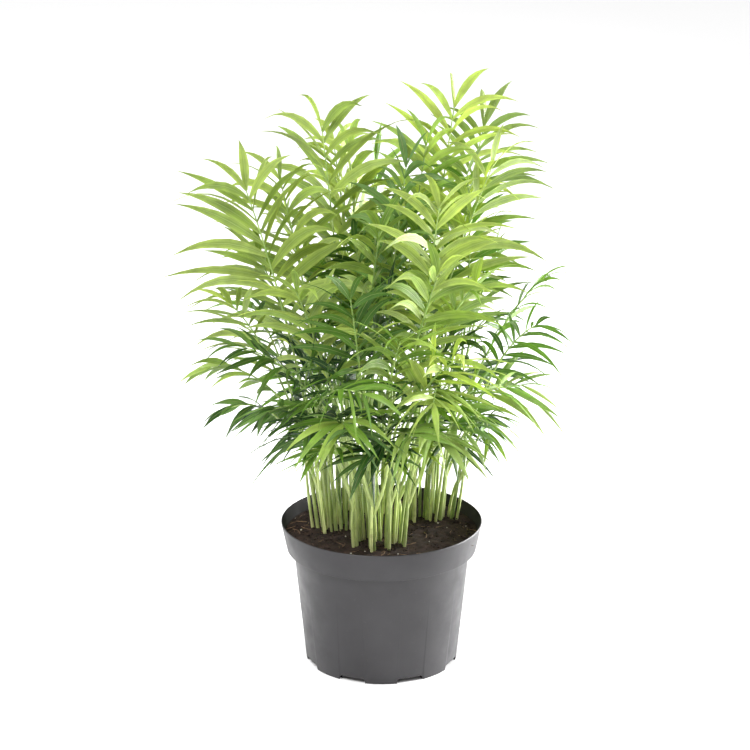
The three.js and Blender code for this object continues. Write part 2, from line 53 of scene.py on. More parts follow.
# ---- Growth: the clumps of stems ----
CLUMPS = [((-44, 6), 8), ((-3, -36), 12), ((46, 31), 8), ((-9, 48), 6)]
SOIL_TOP = 128
STEM_SPACING = 5.8
CLUMP_STRETCH = (1.35, 0.92)
GOLDEN_ANGLE = math.radians(137.508)
STEM_RADIUS = 2.5
STEM_TAPER = 0.72
STEM_HEIGHT = (74, 104)
LEAN_FROM_POT = 0.13
LEAN_FROM_CLUMP = 0.22
LEAN_HEIGHT = 90
MOST_FRONDS = 3

# ---- Growth: the fronds, as (the tip of the rib, its turn in degrees, the longest leaflets) ----
FRONT_FRONDS = [
    ((-54, 0, 514), 75, 100),
    ((-121, -60, 474), 50, 102),
    ((66, 20, 532), 80, 94),
    ((94, 40, 510), 60, 88),
    ((99, -20, 484), -55, 98),
    ((40, -14, 504), 50, 80),
    ((-30, 44, 484), 40, 84),
    ((-92, -20, 474), 60, 86),
    ((22, -20, 486), 40, 74),
    ((-34, 30, 448), -60, 68),
    ((-6, 60, 468), 30, 68),
    ((51, -60, 458), -30, 88),
    ((-112, -10, 396), 35, 88),
    ((83, 60, 428), -20, 84),
    ((147, 40, 360), -25, 60),
    ((141, -40, 342), -60, 54),
    ((-137, -40, 362), 30, 66),
    ((-130, -66, 330), -15, 58),
    ((-162, 20, 282), 20, 46),
    ((-140, -20, 256), 10, 46),
    ((116, -46, 284), 15, 50),
    ((66, -130, 336), -50, 68),
    ((-34, -118, 272), 15, 72),
    ((50, -112, 258), -10, 66),
    ((2, -118, 252), 10, 62),
    ((-72, -90, 250), 20, 62),
    ((-26, -122, 266), -15, 62),
    ((26, -124, 262), 15, 62),
    ((76, -90, 254), 10, 58),
    ((-60, -104, 240), 20, 56),
    ((-14, -112, 238), -15, 56),
    ((20, -104, 240), 15, 56),
    ((60, -98, 246), -20, 54),
    ((8, -66, 262), -10, 58),
    ((-66, -54, 270), 10, 56),
    ((78, -50, 262), -10, 54),
    ((-2, -60, 436), 20, 82),
    ((50, -88, 404), -20, 80),
    ((-28, -100, 384), 25, 76),
    ((-76, -78, 384), 30, 84),
    ((84, -58, 386), -25, 74),
    ((16, -124, 352), -15, 68),
    ((-34, -70, 268), 15, 58),
    ((-16, -132, 306), 20, 62),
    ((45, -130, 296), -10, 66),
    ((-60, -36, 340), -20, 66),
    ((70, -34, 322), 25, 62),
    ((6, -46, 376), 20, 68),
    ((-88, 8, 326), 15, 58),
    ((-44, -78, 312), -15, 60),
    ((-10, -92, 284), 20, 60),
    ((30, -84, 300), -20, 60),
    ((-104, -74, 268), 15, 54),
    ((-44, -96, 236), -10, 52),
    ((40, -92, 234), 15, 50),
    ((-82, -36, 246), 10, 48),
    ((48, -62, 268), 15, 58),
    ((98, -56, 242), 0, 46),
    ((92, 4, 236), 0, 36),
    ((-92, 4, 230), 0, 34),
]
CORE_RING = {
    "count": 16, "radius": (16, 76), "height": (440, 264),
    "leaf": 66, "sweep": (0, 360), "channel": 11,
}
BACK_RING = {
    "count": 16, "radius": (64, 138), "height": (490, 250),
    "leaf": 68, "sweep": (-8, 188), "channel": 21,
}
LOW_RING = {
    "count": 7, "radius": (70, 108), "height": (228, 208),
    "leaf": 56, "sweep": (15, 165), "channel": 31,
}
HEIGHT_JITTER = 20
LEAF_SPREAD = (0.85, 1.15)
GOLDEN_SHARE = 0.618034
TURN_SPREAD = 0.05
ROLL_DEG = 35
FORK_SPREAD = 0.36
TIP_HEIGHTS = (210, 390)
FORK_HEIGHT = (24, 92)
FORK_BELOW_TOP = 6
CROWDING = 16
BOW_OUT = (0.38, 0.43)
BOW_UP = (0.8, 0.57)
ARCH = (0.6, 0.06)
SWAYS = (0, 10, -10, 20, -20, 32, -32)
RIB_START = (0.54, 0.42)
RIB_RADIUS = (1.7, 0.9)

# ---- Growth: the leaflets ----
PAIR_SPACING = 25
PAIRS = (4, 7)
ANGLE_DEG = (54, 30)
END_ANGLE_DEG = 20
ANGLE_SPREAD = 13
LIFT_DEG = (-4, 12)
LIFT_SPREAD = 20
TILT_DEG = 45
DROOP = (0.12, 0.52)
DROOP_POWER = 2.3
LENGTH_SHARES = (0.7, 1)
SWELL_START = 0.15
LENGTH_SPREAD = (0.88, 1.08)
WIDTH_SHARE = 0.108
WIDTH_SPREAD = (0.82, 1.22)
END_WIDTH = 1.25
WIDEST_AT = 0.46
ROOT_LENGTH = 4.4
BETWEEN = 10
BETWEEN_ITEMS = 50
SHORTENINGS = (1, 0.85, 0.7)
SWINGS_DEG = (0, 7, -7, 13)
LIFTS_DEG = (0, 8, -8, 16, -16, 24, -24, 33, -33)

# ---- Growth: clearance ----
CELL = 2
ROOM_LOW = np.array([-270.0, -270.0, 100.0])
ROOM_SIZE = (540, 540, 540)
STEP = 1.5
ROOT_FREE = 10
FORK_FREE = 26
RIM_CLEARANCE = 6
POT_HEIGHT = 138
RIM_RADIUS = 95

UP = np.array([0.0, 0.0, 1.0])


@dataclass
class Stem:
    """One young palm's stem, and the fronds that grow from it."""

    number: int
    foot: np.ndarray
    lean: np.ndarray
    height: float
    fronds: list = field(default_factory=list)

    def point(self, height):
        return self.foot + self.lean * height


@dataclass
class Frond:
    """A leafstalk and its rib, on one curve with three control points."""

    number: int
    stem: Stem
    owner: int
    knots: tuple
    side: np.ndarray
    length: float
    roll: float
    leaf: float
    rib_start: float
    pairs: int
    leaflets: list = field(default_factory=list)


@dataclass
class Leaflet:
    """One leaflet: it starts at `at` along `ahead`, bends down, and is `across` wide."""

    pair: float
    side: int
    at: np.ndarray
    ahead: np.ndarray
    across: np.ndarray
    length: float
    half_width: float
    droop: float
    item: float


def draw(item, channel):
    """A repeatable draw from 0 to 1 for a pair of numbers."""
    wave = math.sin(item * 12.9898 + channel * 78.233) * 43758.5453
    return wave - math.floor(wave)


def mix(low, high, share):
    return (1 - share) * low + share * high


def draw_between(limits, item, channel):
    return mix(limits[0], limits[1], draw(item, channel))


def unit(vector):
    return vector / math.sqrt(vector @ vector)


def turned_about(vector, axis, angle):
    """The vector turned about a unit axis."""
    cosine = math.cos(angle)
    sine = math.sin(angle)
    return vector * cosine + np.cross(axis, vector) * sine + axis * ((axis @ vector) * (1 - cosine))


class Room:
    """A block of small cells, each owned by the stem or pair of leaflets that passes through it."""

    def __init__(self):
        counts = [math.ceil(side / CELL) for side in ROOM_SIZE]
        self.strides = (counts[1] * counts[2], counts[2])
        self.owners = np.zeros(counts[0] * counts[1] * counts[2], np.int32)
        steps = (-1, 0, 1)
        self.near = np.array([
            (x * counts[1] + y) * counts[2] + z for x in steps for y in steps for z in steps])

    def cells_of(self, points):
        places = np.floor((points - ROOM_LOW) / CELL).astype(np.int64)
        return places[:, 0] * self.strides[0] + places[:, 1] * self.strides[1] + places[:, 2]

    def is_clear(self, points, is_own):
        if not len(points):
            return True
        owners = self.owners[self.cells_of(points)[:, None] + self.near]
        owners = owners[owners > 0]
        return bool(np.all(is_own(owners)))

    def claim(self, points, owner):
        if len(points):
            self.owners[self.cells_of(points)] = owner


def owner_of(stem, frond_on_stem=0):
    return 1 + stem.number * 100 + frond_on_stem * 25


def clears_rim(points):
    above = points[:, 2] > POT_HEIGHT + RIM_CLEARANCE
    outside = np.hypot(points[:, 0], points[:, 1]) > RIM_RADIUS + RIM_CLEARANCE
    return bool(np.all(above | outside))


def make_stems():
    stems = []
    for (x, y), count in CLUMPS:
        for i in range(count):
            spiral = STEM_SPACING * math.sqrt(i + 0.5)
            turn = i * GOLDEN_ANGLE + x
            off = (spiral * math.cos(turn) * CLUMP_STRETCH[0], spiral * math.sin(turn) * CLUMP_STRETCH[1])
            foot = np.array([x + off[0], y + off[1], SOIL_TOP])
            lean = np.array([
                (foot[0] * LEAN_FROM_POT + off[0] * LEAN_FROM_CLUMP) / LEAN_HEIGHT,
                (foot[1] * LEAN_FROM_POT + off[1] * LEAN_FROM_CLUMP) / LEAN_HEIGHT,
                1,
            ])
            number = len(stems)
            stems.append(Stem(number, foot, lean, draw_between(STEM_HEIGHT, number, 1)))
    return stems


def planned_fronds():
    planned = [(np.array(tip, float), roll, leaf) for tip, roll, leaf in FRONT_FRONDS]
    for ring in (CORE_RING, BACK_RING, LOW_RING):
        start, stop = ring["sweep"]
        channel = ring["channel"]
        for i in range(ring["count"]):
            out = math.sqrt((i + 0.5) / ring["count"])
            around = (i * GOLDEN_SHARE + draw(i, channel) * TURN_SPREAD) % 1
            turn = math.radians(start + (stop - start) * around)
            radius = mix(*ring["radius"], out)
            height = mix(*ring["height"], out * out) + HEIGHT_JITTER * (2 * draw(i, channel + 1) - 1)
            tip = np.array([radius * math.cos(turn), radius * math.sin(turn), height])
            roll = ROLL_DEG * (2 * draw(i, channel + 2) - 1)
            planned.append((tip, roll, ring["leaf"] * draw_between(LEAF_SPREAD, i, channel + 3)))
    return planned


def for_height(limits, height):
    """The value for a frond whose tip is this high."""
    share = (height - TIP_HEIGHTS[0]) / (TIP_HEIGHTS[1] - TIP_HEIGHTS[0])
    return limits[0] + min(1, max(0, share)) * (limits[1] - limits[0])


def curve_points(knots, shares):
    """Points of a quadratic curve at these shares of it."""
    t = np.asarray(shares, float)[..., None]
    return (1 - t) * (1 - t) * knots[0] + 2 * (1 - t) * t * knots[1] + t * t * knots[2]


def curve_tangent(knots, share):
    ends = curve_points(knots, [max(0, share - 0.0001), min(1, share + 0.0001)])
    return unit(ends[1] - ends[0])


def tube_points(point_at, length, start, stop, radius):
    """Points on and in a round rod about a curve."""
    steps = math.ceil((stop - start) / STEP)
    shares = mix(start, stop, np.arange(steps + 1) / steps) / length
    centres = point_at(shares)
    turns = np.arange(6) * math.pi / 3
    off = np.stack([np.cos(turns), np.sin(turns), np.zeros(6)], 1) * radius
    return np.concatenate([centres, (centres[:, None] + off).reshape(-1, 3)])


def frond_curve(stem, tip, sway):
    fork = stem.point(min(for_height(FORK_HEIGHT, tip[2]), stem.height - FORK_BELOW_TOP))
    out = np.array([tip[0] - fork[0], tip[1] - fork[1], 0])
    reach = math.sqrt(out @ out)
    out = out / reach
    side = np.cross(UP, out)
    bow = fork + out * (reach * for_height(BOW_OUT, tip[2])) + side * sway
    bow = bow + UP * ((tip[2] - fork[2]) * for_height(BOW_UP, tip[2]) + reach * for_height(ARCH, tip[2]))
    return (fork, bow, tip), side


def place_frond(plan, number, stems, room):
    """Puts a frond on the nearest stem from which its stalk and rib run clear of all the others."""
    tip, roll, leaf = plan

    def distance(stem):
        x = stem.foot[0] - tip[0] * FORK_SPREAD
        y = stem.foot[1] - tip[1] * FORK_SPREAD
        return math.hypot(x, y) + CROWDING * len(stem.fronds)

    for stem in sorted((stem for stem in stems if len(stem.fronds) < MOST_FRONDS), key=distance):
        for sway in SWAYS:
            knots, side = frond_curve(stem, tip, sway)
            line = curve_points(knots, np.arange(201) / 200)
            length = float(np.sum(np.linalg.norm(np.diff(line, axis=0), axis=1)))

            def point_at(shares, knots=knots):
                return curve_points(knots, shares)

            start = tube_points(point_at, length, 0, FORK_FREE, RIB_RADIUS[0])
            rest = tube_points(point_at, length, FORK_FREE, length, RIB_RADIUS[0])
            if not room.is_clear(start, lambda owners: (owners - 1) // 100 == stem.number):
                continue
            if not room.is_clear(rest, lambda owners: owners < 0):
                continue
            owner = owner_of(stem, len(stem.fronds) + 1)
            room.claim(start, owner)
            room.claim(rest, owner)
            rib_start = for_height(RIB_START, tip[2])
            pairs = math.floor(length * (1 - rib_start) / PAIR_SPACING + 0.5) + 1
            pairs = min(PAIRS[1], max(PAIRS[0], pairs))
            frond = Frond(
                number, stem, owner, knots, side, length, math.radians(roll), leaf, rib_start, pairs)
            stem.fronds.append(frond)
            return frond
    return None


def rib_frame(frond, share):
    """The rib's point, direction, left side and upper side at a share of the frond's curve."""
    along = curve_tangent(frond.knots, share)
    side = unit(frond.side - along * (frond.side @ along))
    side = turned_about(side, along, frond.roll)
    return curve_points(frond.knots, share), along, side, np.cross(along, side)


def root_share(frond, pair):
    last = pair == frond.pairs - 1
    return mix(frond.rib_start, 1, pair / (frond.pairs - 1)) - (ROOT_LENGTH / 2 / frond.length if last else 0)


def make_leaflet(frond, pair, side, lift, swing, shortening):
    share = pair / (frond.pairs - 1)
    last = pair == frond.pairs - 1
    item = frond.number * 100 + pair * 2 + (1 if side > 0 else 0) + (BETWEEN_ITEMS if pair % 1 else 0)
    at, along, rib_side, rib_up = rib_frame(frond, root_share(frond, pair))
    own_swing = ANGLE_SPREAD * (2 * draw(item, 45) - 1)
    angle = math.radians((END_ANGLE_DEG if last else mix(*ANGLE_DEG, share)) + own_swing + swing)
    own_lift = for_height(LIFT_DEG, frond.knots[2][2]) + LIFT_SPREAD * (2 * draw(item, 41) - 1)
    rising = math.radians(own_lift + lift)
    tilt = math.radians(TILT_DEG * (2 * draw(item, 42) - 1))
    outward = rib_side * (side * math.cos(rising)) + rib_up * math.sin(rising)
    ahead = along * math.cos(angle) + outward * math.sin(angle)
    across = unit(along - ahead * (along @ ahead))
    across = turned_about(across, ahead, side * tilt)
    swell = math.sin(math.pi * min(1, (share + SWELL_START) / (1 + SWELL_START)))
    full_length = frond.leaf * mix(*LENGTH_SHARES, swell)
    length = full_length * draw_between(LENGTH_SPREAD, item, 43) * shortening
    half_width = length * WIDTH_SHARE * draw_between(WIDTH_SPREAD, item, 46) * (END_WIDTH if last else 1) / 2
    droop = draw_between(DROOP, item, 44)
    return Leaflet(pair, side, at, ahead, across, length, half_width, droop, item)


def leaflet_frames(leaflet, shares):
    """The midrib's points, the width's directions and the upper sides at these shares of a leaflet."""
    s = np.asarray(shares, float)[:, None]
    points = (leaflet.at + leaflet.ahead * (leaflet.length * s)
              - UP * (leaflet.droop * leaflet.length * s**DROOP_POWER))
    along = leaflet.ahead - UP * (leaflet.droop * DROOP_POWER * s ** (DROOP_POWER - 1))
    along = along / np.linalg.norm(along, axis=1, keepdims=True)
    width = leaflet.across - along * (along @ leaflet.across)[:, None]
    width = width / np.linalg.norm(width, axis=1, keepdims=True)
    up = np.cross(width, along) if leaflet.side > 0 else np.cross(along, width)
    return points, along, width, up


def facet_points(end, middle, left, right, free):
    """Points all over the flat facet from an end to the widest part, and which of them are near the end."""
    length = math.dist(end, middle)
    rows = math.ceil(length / STEP)
    share = np.arange(rows + 1) / rows
    a = end + (left - end) * share[:, None]
    b = end + (right - end) * share[:, None]
    across = np.maximum(1, np.ceil(np.linalg.norm(a - b, axis=1) / STEP)).astype(int)
    row = np.repeat(np.arange(rows + 1), across + 1)
    first = np.repeat(np.cumsum(across + 1) - (across + 1), across + 1)
    along = (np.arange(len(row)) - first) / across[row]
    points = a[row] + (b[row] - a[row]) * along[:, None]
    return points, share[row] * length < free


def leaflet_points(leaflet):
    points, _, width, _ = leaflet_frames(leaflet, [WIDEST_AT, 1])
    left = points[0] - width[0] * leaflet.half_width
    right = points[0] + width[0] * leaflet.half_width
    low, is_root = facet_points(leaflet.at, points[0], left, right, ROOT_FREE)
    high, _ = facet_points(points[1], points[0], left, right, 0)
    return low[is_root], np.concatenate([low[~is_root], high])


VARIANTS = [(shorter, swing, lift) for shorter in SHORTENINGS for swing in SWINGS_DEG for lift in LIFTS_DEG]


def place_leaflet(frond, pair, side, room):
    """Lifts or lowers a leaflet, then swings it, then shortens it, until it is clear of everything else."""
    owner = frond.owner + 1 + (pair if pair % 1 == 0 else BETWEEN + math.floor(pair))
    for shortening, swing, lift in VARIANTS:
        leaflet = make_leaflet(frond, pair, side, lift, swing, shortening)
        root, blade = leaflet_points(leaflet)
        if not room.is_clear(root, lambda owners: (owners - 1) // 25 == (owner - 1) // 25):
            continue
        if clears_rim(blade) and room.is_clear(blade, lambda owners: owners == owner):
            room.claim(root, owner)
            room.claim(blade, owner)
            frond.leaflets.append(leaflet)
            return


def grow_palms():
    """All the stems, with their fronds and leaflets, as the solids have them."""
    room = Room()
    stems = make_stems()
    for stem in stems:
        rod = tube_points(lambda shares: stem.foot + stem.lean * (shares * stem.height)[:, None],
                          stem.height, 0, stem.height, STEM_RADIUS)
        room.claim(rod, owner_of(stem))
    fronds = [place_frond(plan, number, stems, room) for number, plan in enumerate(planned_fronds())]
    for frond in fronds:
        if frond is None:
            continue
        for pair in range(frond.pairs - 1, -1, -1):
            place_leaflet(frond, pair, 1, room)
            place_leaflet(frond, pair, -1, room)
    return stems, room


def is_inner(frond):
    """Whether a frond is one of those that fill the plant's thick middle."""
    return abs(frond.knots[2][0]) < 95 and frond.knots[2][2] < 490


def add_between(frond, room):
    """More leaflets, halfway between the pairs. Those in the plant's thick middle may cross others."""
    shortening, swing, lift = VARIANTS[0]
    for pair in range(frond.pairs - 2, -1, -1):
        for side in (1, -1):
            count = len(frond.leaflets)
            place_leaflet(frond, pair + 0.5, side, room)
            if len(frond.leaflets) == count and is_inner(frond):
                frond.leaflets.append(make_leaflet(frond, pair + 0.5, side, lift, swing, shortening))


# ---- Modelling by hand ----
def clear_selection():
    """Goes back to object mode with nothing selected."""
    if bpy.context.object and bpy.context.object.mode != "OBJECT":
        bpy.ops.object.mode_set(mode="OBJECT")
    bpy.ops.object.select_all(action="DESELECT")


def choose(*pieces):
    """Selects these pieces alone, with the first one active."""
    clear_selection()
    for piece in pieces:
        piece.select_set(True)
    bpy.context.view_layer.objects.active = pieces[0]


def fix_place(piece):
    """Puts the piece's place, turn and size into its mesh."""
    choose(piece)
    bpy.ops.object.transform_apply(location=True, rotation=True, scale=True)


def apply_all(piece):
    choose(piece)
    for modifier in list(piece.modifiers):
        bpy.ops.object.modifier_apply(modifier=modifier.name)


def joined(name, pieces):
    choose(*pieces)
    bpy.ops.object.join()
    piece = bpy.context.object
    piece.name = name
    piece.data.name = name
    piece.data.update()
    return piece


def edit_chosen(piece, is_chosen):
    """Enters edit mode with the points that pass the test selected."""
    choose(piece)
    bpy.ops.object.mode_set(mode="EDIT")
    bpy.ops.mesh.select_mode(type="VERT")
    bpy.ops.mesh.select_all(action="DESELECT")
    bpy.ops.object.mode_set(mode="OBJECT")
    for vertex in piece.data.vertices:
        vertex.select = bool(is_chosen(vertex.co))
    bpy.ops.object.mode_set(mode="EDIT")


def face_outwards(piece):
    choose(piece)
    bpy.ops.object.mode_set(mode="EDIT")
    bpy.ops.mesh.select_all(action="SELECT")
    bpy.ops.mesh.normals_make_consistent(inside=False)
    bpy.ops.object.mode_set(mode="OBJECT")


def turned_solid(name, profile, sides):
    """A solid of revolution: a disc on the axis, extruded ring by ring along (radius, height) points."""
    clear_selection()
    radius, height = profile[0]
    bpy.ops.mesh.primitive_circle_add(
        vertices=sides, radius=radius * MM, fill_type="NGON", location=(0, 0, height * MM))
    piece = bpy.context.object
    piece.name = name
    fix_place(piece)
    bpy.ops.object.mode_set(mode="EDIT")
    bpy.ops.mesh.select_mode(type="FACE")
    bpy.ops.mesh.select_all(action="SELECT")
    for next_radius, next_height in profile[1:]:
        rise = (next_height - height) * MM
        bpy.ops.mesh.extrude_region_move(TRANSFORM_OT_translate={"value": (0, 0, rise)})
        grow = next_radius / radius
        bpy.ops.transform.resize(value=(grow, grow, 1), center_override=(0, 0, next_height * MM))
        radius, height = next_radius, next_height
    face_outwards(piece)
    return piece


# ---- Finishes ----
class Finish:
    """A material of nodes, built up one node at a time."""

    def __init__(self, name, roughness, specular=0.5):
        self.material = bpy.data.materials.new(name)
        self.material.use_nodes = True
        self.tree = self.material.node_tree
        self.shader = self.tree.nodes["Principled BSDF"]
        self.shader.inputs["Roughness"].default_value = roughness
        self.shader.inputs["Specular IOR Level"].default_value = specular

    def put(self, socket, value):
        if isinstance(value, bpy.types.NodeSocket):
            self.tree.links.new(value, socket)
        else:
            socket.default_value = value

    def place(self):
        return self.tree.nodes.new("ShaderNodeTexCoord").outputs["Object"]

    def surface(self):
        return self.tree.nodes.new("ShaderNodeTexCoord").outputs["UV"]

    def outwardness(self):
        """How far the surface faces away from the upright axis, in metres: below 0 on an inner wall."""
        node = self.tree.nodes.new("ShaderNodeTexCoord")
        dot = self.tree.nodes.new("ShaderNodeVectorMath")
        dot.operation = "DOT_PRODUCT"
        self.put(dot.inputs[0], self.stretched(node.outputs["Object"], (1, 1, 0)))
        self.put(dot.inputs[1], node.outputs["Normal"])
        return dot.outputs["Value"]

    def kept(self, name):
        node = self.tree.nodes.new("ShaderNodeAttribute")
        node.attribute_name = name
        return node.outputs["Fac"]

    def stretched(self, vector, scale):
        node = self.tree.nodes.new("ShaderNodeMapping")
        self.put(node.inputs["Vector"], vector)
        node.inputs["Scale"].default_value = scale
        return node.outputs["Vector"]

    def noise(self, vector, scale, detail=3.0, roughness=0.55):
        node = self.tree.nodes.new("ShaderNodeTexNoise")
        self.put(node.inputs["Vector"], vector)
        node.inputs["Scale"].default_value = scale
        node.inputs["Detail"].default_value = detail
        node.inputs["Roughness"].default_value = roughness
        return node.outputs["Fac"]

    def cells(self, vector, scale):
        node = self.tree.nodes.new("ShaderNodeTexVoronoi")
        self.put(node.inputs["Vector"], vector)
        node.inputs["Scale"].default_value = scale
        return node.outputs["Distance"]

    def math(self, operation, a, b=0.0, clamp=False):
        node = self.tree.nodes.new("ShaderNodeMath")
        node.operation = operation
        node.use_clamp = clamp
        self.put(node.inputs[0], a)
        self.put(node.inputs[1], b)
        return node.outputs[0]

    def spread(self, value, low, high, to_low=0.0, to_high=1.0):
        """The value carried from one range to another, and held inside it."""
        node = self.tree.nodes.new("ShaderNodeMapRange")
        self.put(node.inputs["Value"], value)
        for name, number in (("From Min", low), ("From Max", high), ("To Min", to_low), ("To Max", to_high)):
            node.inputs[name].default_value = number
        return node.outputs["Result"]

    def parts(self, vector):
        node = self.tree.nodes.new("ShaderNodeSeparateXYZ")
        self.put(node.inputs[0], vector)
        return node.outputs

    def blend(self, share, low, high, way="MIX"):
        node = self.tree.nodes.new("ShaderNodeMix")
        node.data_type = "RGBA"
        node.blend_type = way
        self.put(node.inputs["Factor"], share)
        for socket, colour in ((node.inputs[6], low), (node.inputs[7], high)):
            self.put(socket, colour if isinstance(colour, bpy.types.NodeSocket) else (*colour[:3], 1))
        return node.outputs[2]

    def bump(self, height, strength, distance):
        node = self.tree.nodes.new("ShaderNodeBump")
        node.inputs["Strength"].default_value = strength
        node.inputs["Distance"].default_value = distance
        self.put(node.inputs["Height"], height)
        self.put(self.shader.inputs["Normal"], node.outputs["Normal"])


def moulded_plastic(colour):
    """Grey moulded plastic: mottled, with a fine satin grain, and with painted shade darkening the inner
    wall.
    """
    finish = Finish("moulded grey plastic", 0.42, 0.4)
    place = finish.place()
    mottle = finish.spread(finish.noise(place, 26, 4), 0.3, 0.7)
    grain = finish.noise(place, 900, 2)
    light = [min(1, channel * 1.12) for channel in colour]
    dark = [channel * 0.9 for channel in colour]
    base = finish.blend(mottle, dark, light)
    specks = finish.spread(finish.noise(place, 420, 2), 0.66, 0.74, 0, 0.5)
    base = finish.blend(specks, base, [channel * 1.5 for channel in colour])
    # Painted shade: the inner wall is darkened to near black, broken up a little by noise, and made rougher.
    inside = finish.spread(finish.outwardness(), -0.04, -0.015, 1, 0)
    painted_inner_shade = finish.math("MULTIPLY", inside, finish.spread(finish.noise(place, 70, 4), 0.3, 0.6, 0.8, 1))
    finish.put(finish.shader.inputs["Base Color"], finish.blend(painted_inner_shade, base, (0.006, 0.005, 0.0045)))
    satin = finish.spread(finish.noise(place, 60, 3), 0.3, 0.7, 0.36, 0.5)
    roughness = finish.math("ADD", satin, finish.math("MULTIPLY", inside, 0.5), True)
    finish.put(finish.shader.inputs["Roughness"], roughness)
    finish.bump(grain, 0.12, 0.0002)
    return finish.material


def damp_soil(colour):
    """Dark crumbly peat, paler where it has dried."""
    finish = Finish("damp potting soil", 0.9, 0.25)
    place = finish.place()
    clods = finish.spread(finish.noise(place, 120, 5, 0.7), 0.35, 0.7)
    dry = [channel * 2.4 for channel in colour]
    wet = [channel * 0.55 for channel in colour]
    base = finish.blend(clods, wet, dry)
    flecks = finish.spread(finish.noise(place, 700, 2), 0.68, 0.72)
    pale = (colour[0] * 5, colour[1] * 5, colour[2] * 4.5)
    finish.put(finish.shader.inputs["Base Color"], finish.blend(flecks, base, pale))
    finish.bump(finish.noise(place, 420, 6, 0.75), 0.9, 0.0015)
    return finish.material


def soil_bits(name, colour, spread):
    """One kind of loose bit in the soil, such as a crumb, a root fibre or a white grain."""
    finish = Finish(name, 0.85, 0.3)
    place = finish.place()
    change = finish.noise(place, 260, 4)
    dark = [channel * (1 - spread) for channel in colour]
    light = [min(1, channel * (1 + spread)) for channel in colour]
    base = finish.blend(finish.spread(change, 0.35, 0.65), dark, light)
    finish.put(finish.shader.inputs["Base Color"], base)
    finish.bump(finish.noise(place, 1200, 3), 0.5, 0.0004)
    return finish.material


def leaf_blade(bright, green, dark, glaucous):
    """A leaf's blade: its tone is kept on each leaflet; a pale midrib and fine veins run along it."""
    finish = Finish("palm leaf", 0.42, 0.5)
    place = finish.place()
    across, along, _ = finish.parts(finish.surface())
    off_middle = finish.math("ABSOLUTE", finish.math("SUBTRACT", across, 0.5))
    # The kept tone carries painted light and shade as well as each leaflet's own green: high outer leaflets
    # are painted lit, and inner ones are painted shaded.
    base = finish.blend(finish.spread(finish.kept("tone"), 0, 0.45), dark, green)
    base = finish.blend(finish.spread(finish.kept("tone"), 0.45, 1), base, bright)
    base = finish.blend(finish.kept("bloom"), base, glaucous)
    mottle = finish.spread(finish.noise(place, 60, 4), 0.3, 0.7, 0.68, 1.12)
    base = finish.blend(1.0, base, finish.blend(mottle, (0, 0, 0), (1, 1, 1)), "MULTIPLY")
    # Fine veins are painted as pale and dark lines along the blade, and the creases of its pleats as painted
    # shade; both also drive the bump below.
    veins = finish.math("SINE", finish.math("MULTIPLY", across, 95))
    creases = finish.math("SINE", finish.math("MULTIPLY", across, 38))
    veins_and_crease_shade = finish.math(
        "MULTIPLY", finish.spread(veins, -1, 1, 0.88, 1.1), finish.spread(creases, -1, 1, 0.86, 1.05))
    base = finish.blend(1.0, base, finish.blend(veins_and_crease_shade, (0, 0, 0), (1, 1, 1)), "MULTIPLY")
    deep = finish.math(
        "MULTIPLY", finish.spread(along, 0.0, 0.5, 0.45, 0), finish.spread(off_middle, 0.1, 0.5, 1, 0.3))
    base = finish.blend(deep, base, [channel * 1.6 for channel in dark])
    midrib = finish.spread(off_middle, 0.018, 0.05, 0.5, 0)
    base = finish.blend(midrib, base, (0.42, 0.52, 0.16))
    dryness = finish.spread(finish.kept("tone"), 0.1, 0.6, 0.7, 0.2)
    tip = finish.math("MULTIPLY", finish.spread(along, 0.965, 1.0), dryness)
    base = finish.blend(tip, base, (0.2, 0.15, 0.06))
    finish.put(finish.shader.inputs["Base Color"], base)
    pleats = finish.math("ADD", finish.math("MULTIPLY", veins, 0.25), finish.math("MULTIPLY", creases, 0.6))
    ridge = finish.math("ADD", pleats, finish.spread(off_middle, 0.0, 0.06, 1, 0))
    finish.bump(ridge, 0.4, 0.0003)
    light_through = finish.tree.nodes.new("ShaderNodeBsdfTranslucent")
    glow = finish.blend(1.0, base, (1.5, 1.35, 1.1), "MULTIPLY")
    finish.put(light_through.inputs["Color"], glow)
    both = finish.tree.nodes.new("ShaderNodeMixShader")
    both.inputs["Fac"].default_value = 0.36
    finish.put(both.inputs[1], finish.shader.outputs["BSDF"])
    finish.put(both.inputs[2], light_through.outputs["BSDF"])
    finish.put(finish.tree.nodes["Material Output"].inputs["Surface"], both.outputs["Shader"])
    return finish.material


def green_cane(foot, low, high):
    """A stem or leafstalk: cream at the foot, pale green above it, and lighter or greener by its tone."""
    finish = Finish("palm cane", 0.36, 0.5)
    place = finish.place()
    height = finish.parts(place)[2]
    tone = finish.kept("tone")
    lit = finish.blend(finish.spread(height, 0.128, 0.15), foot, low)
    shaded = [channel * 0.55 for channel in high]
    base = finish.blend(tone, shaded, lit)
    base = finish.blend(finish.spread(height, 0.175, 0.29), base, high)
    streaks = finish.noise(finish.stretched(place, (1, 1, 0.06)), 600, 3)
    base = finish.blend(finish.spread(streaks, 0.42, 0.66, 0, 0.5), base, [channel * 0.6 for channel in high])
    patches = finish.spread(finish.noise(finish.stretched(place, (1, 1, 0.3)), 160, 3), 0.5, 0.72, 0, 0.4)
    base = finish.blend(patches, base, [min(1, channel * 1.15) for channel in low])
    joints = finish.spread(finish.noise(finish.stretched(place, (0.2, 0.2, 1)), 150, 1), 0.6, 0.68, 0, 0.35)
    base = finish.blend(joints, base, [channel * 0.45 for channel in low])
    finish.put(finish.shader.inputs["Base Color"], base)
    finish.shader.inputs["Subsurface Weight"].default_value = 0.1
    finish.shader.inputs["Subsurface Radius"].default_value = (0.002, 0.003, 0.001)
    finish.bump(streaks, 0.25, 0.0003)
    return finish.material


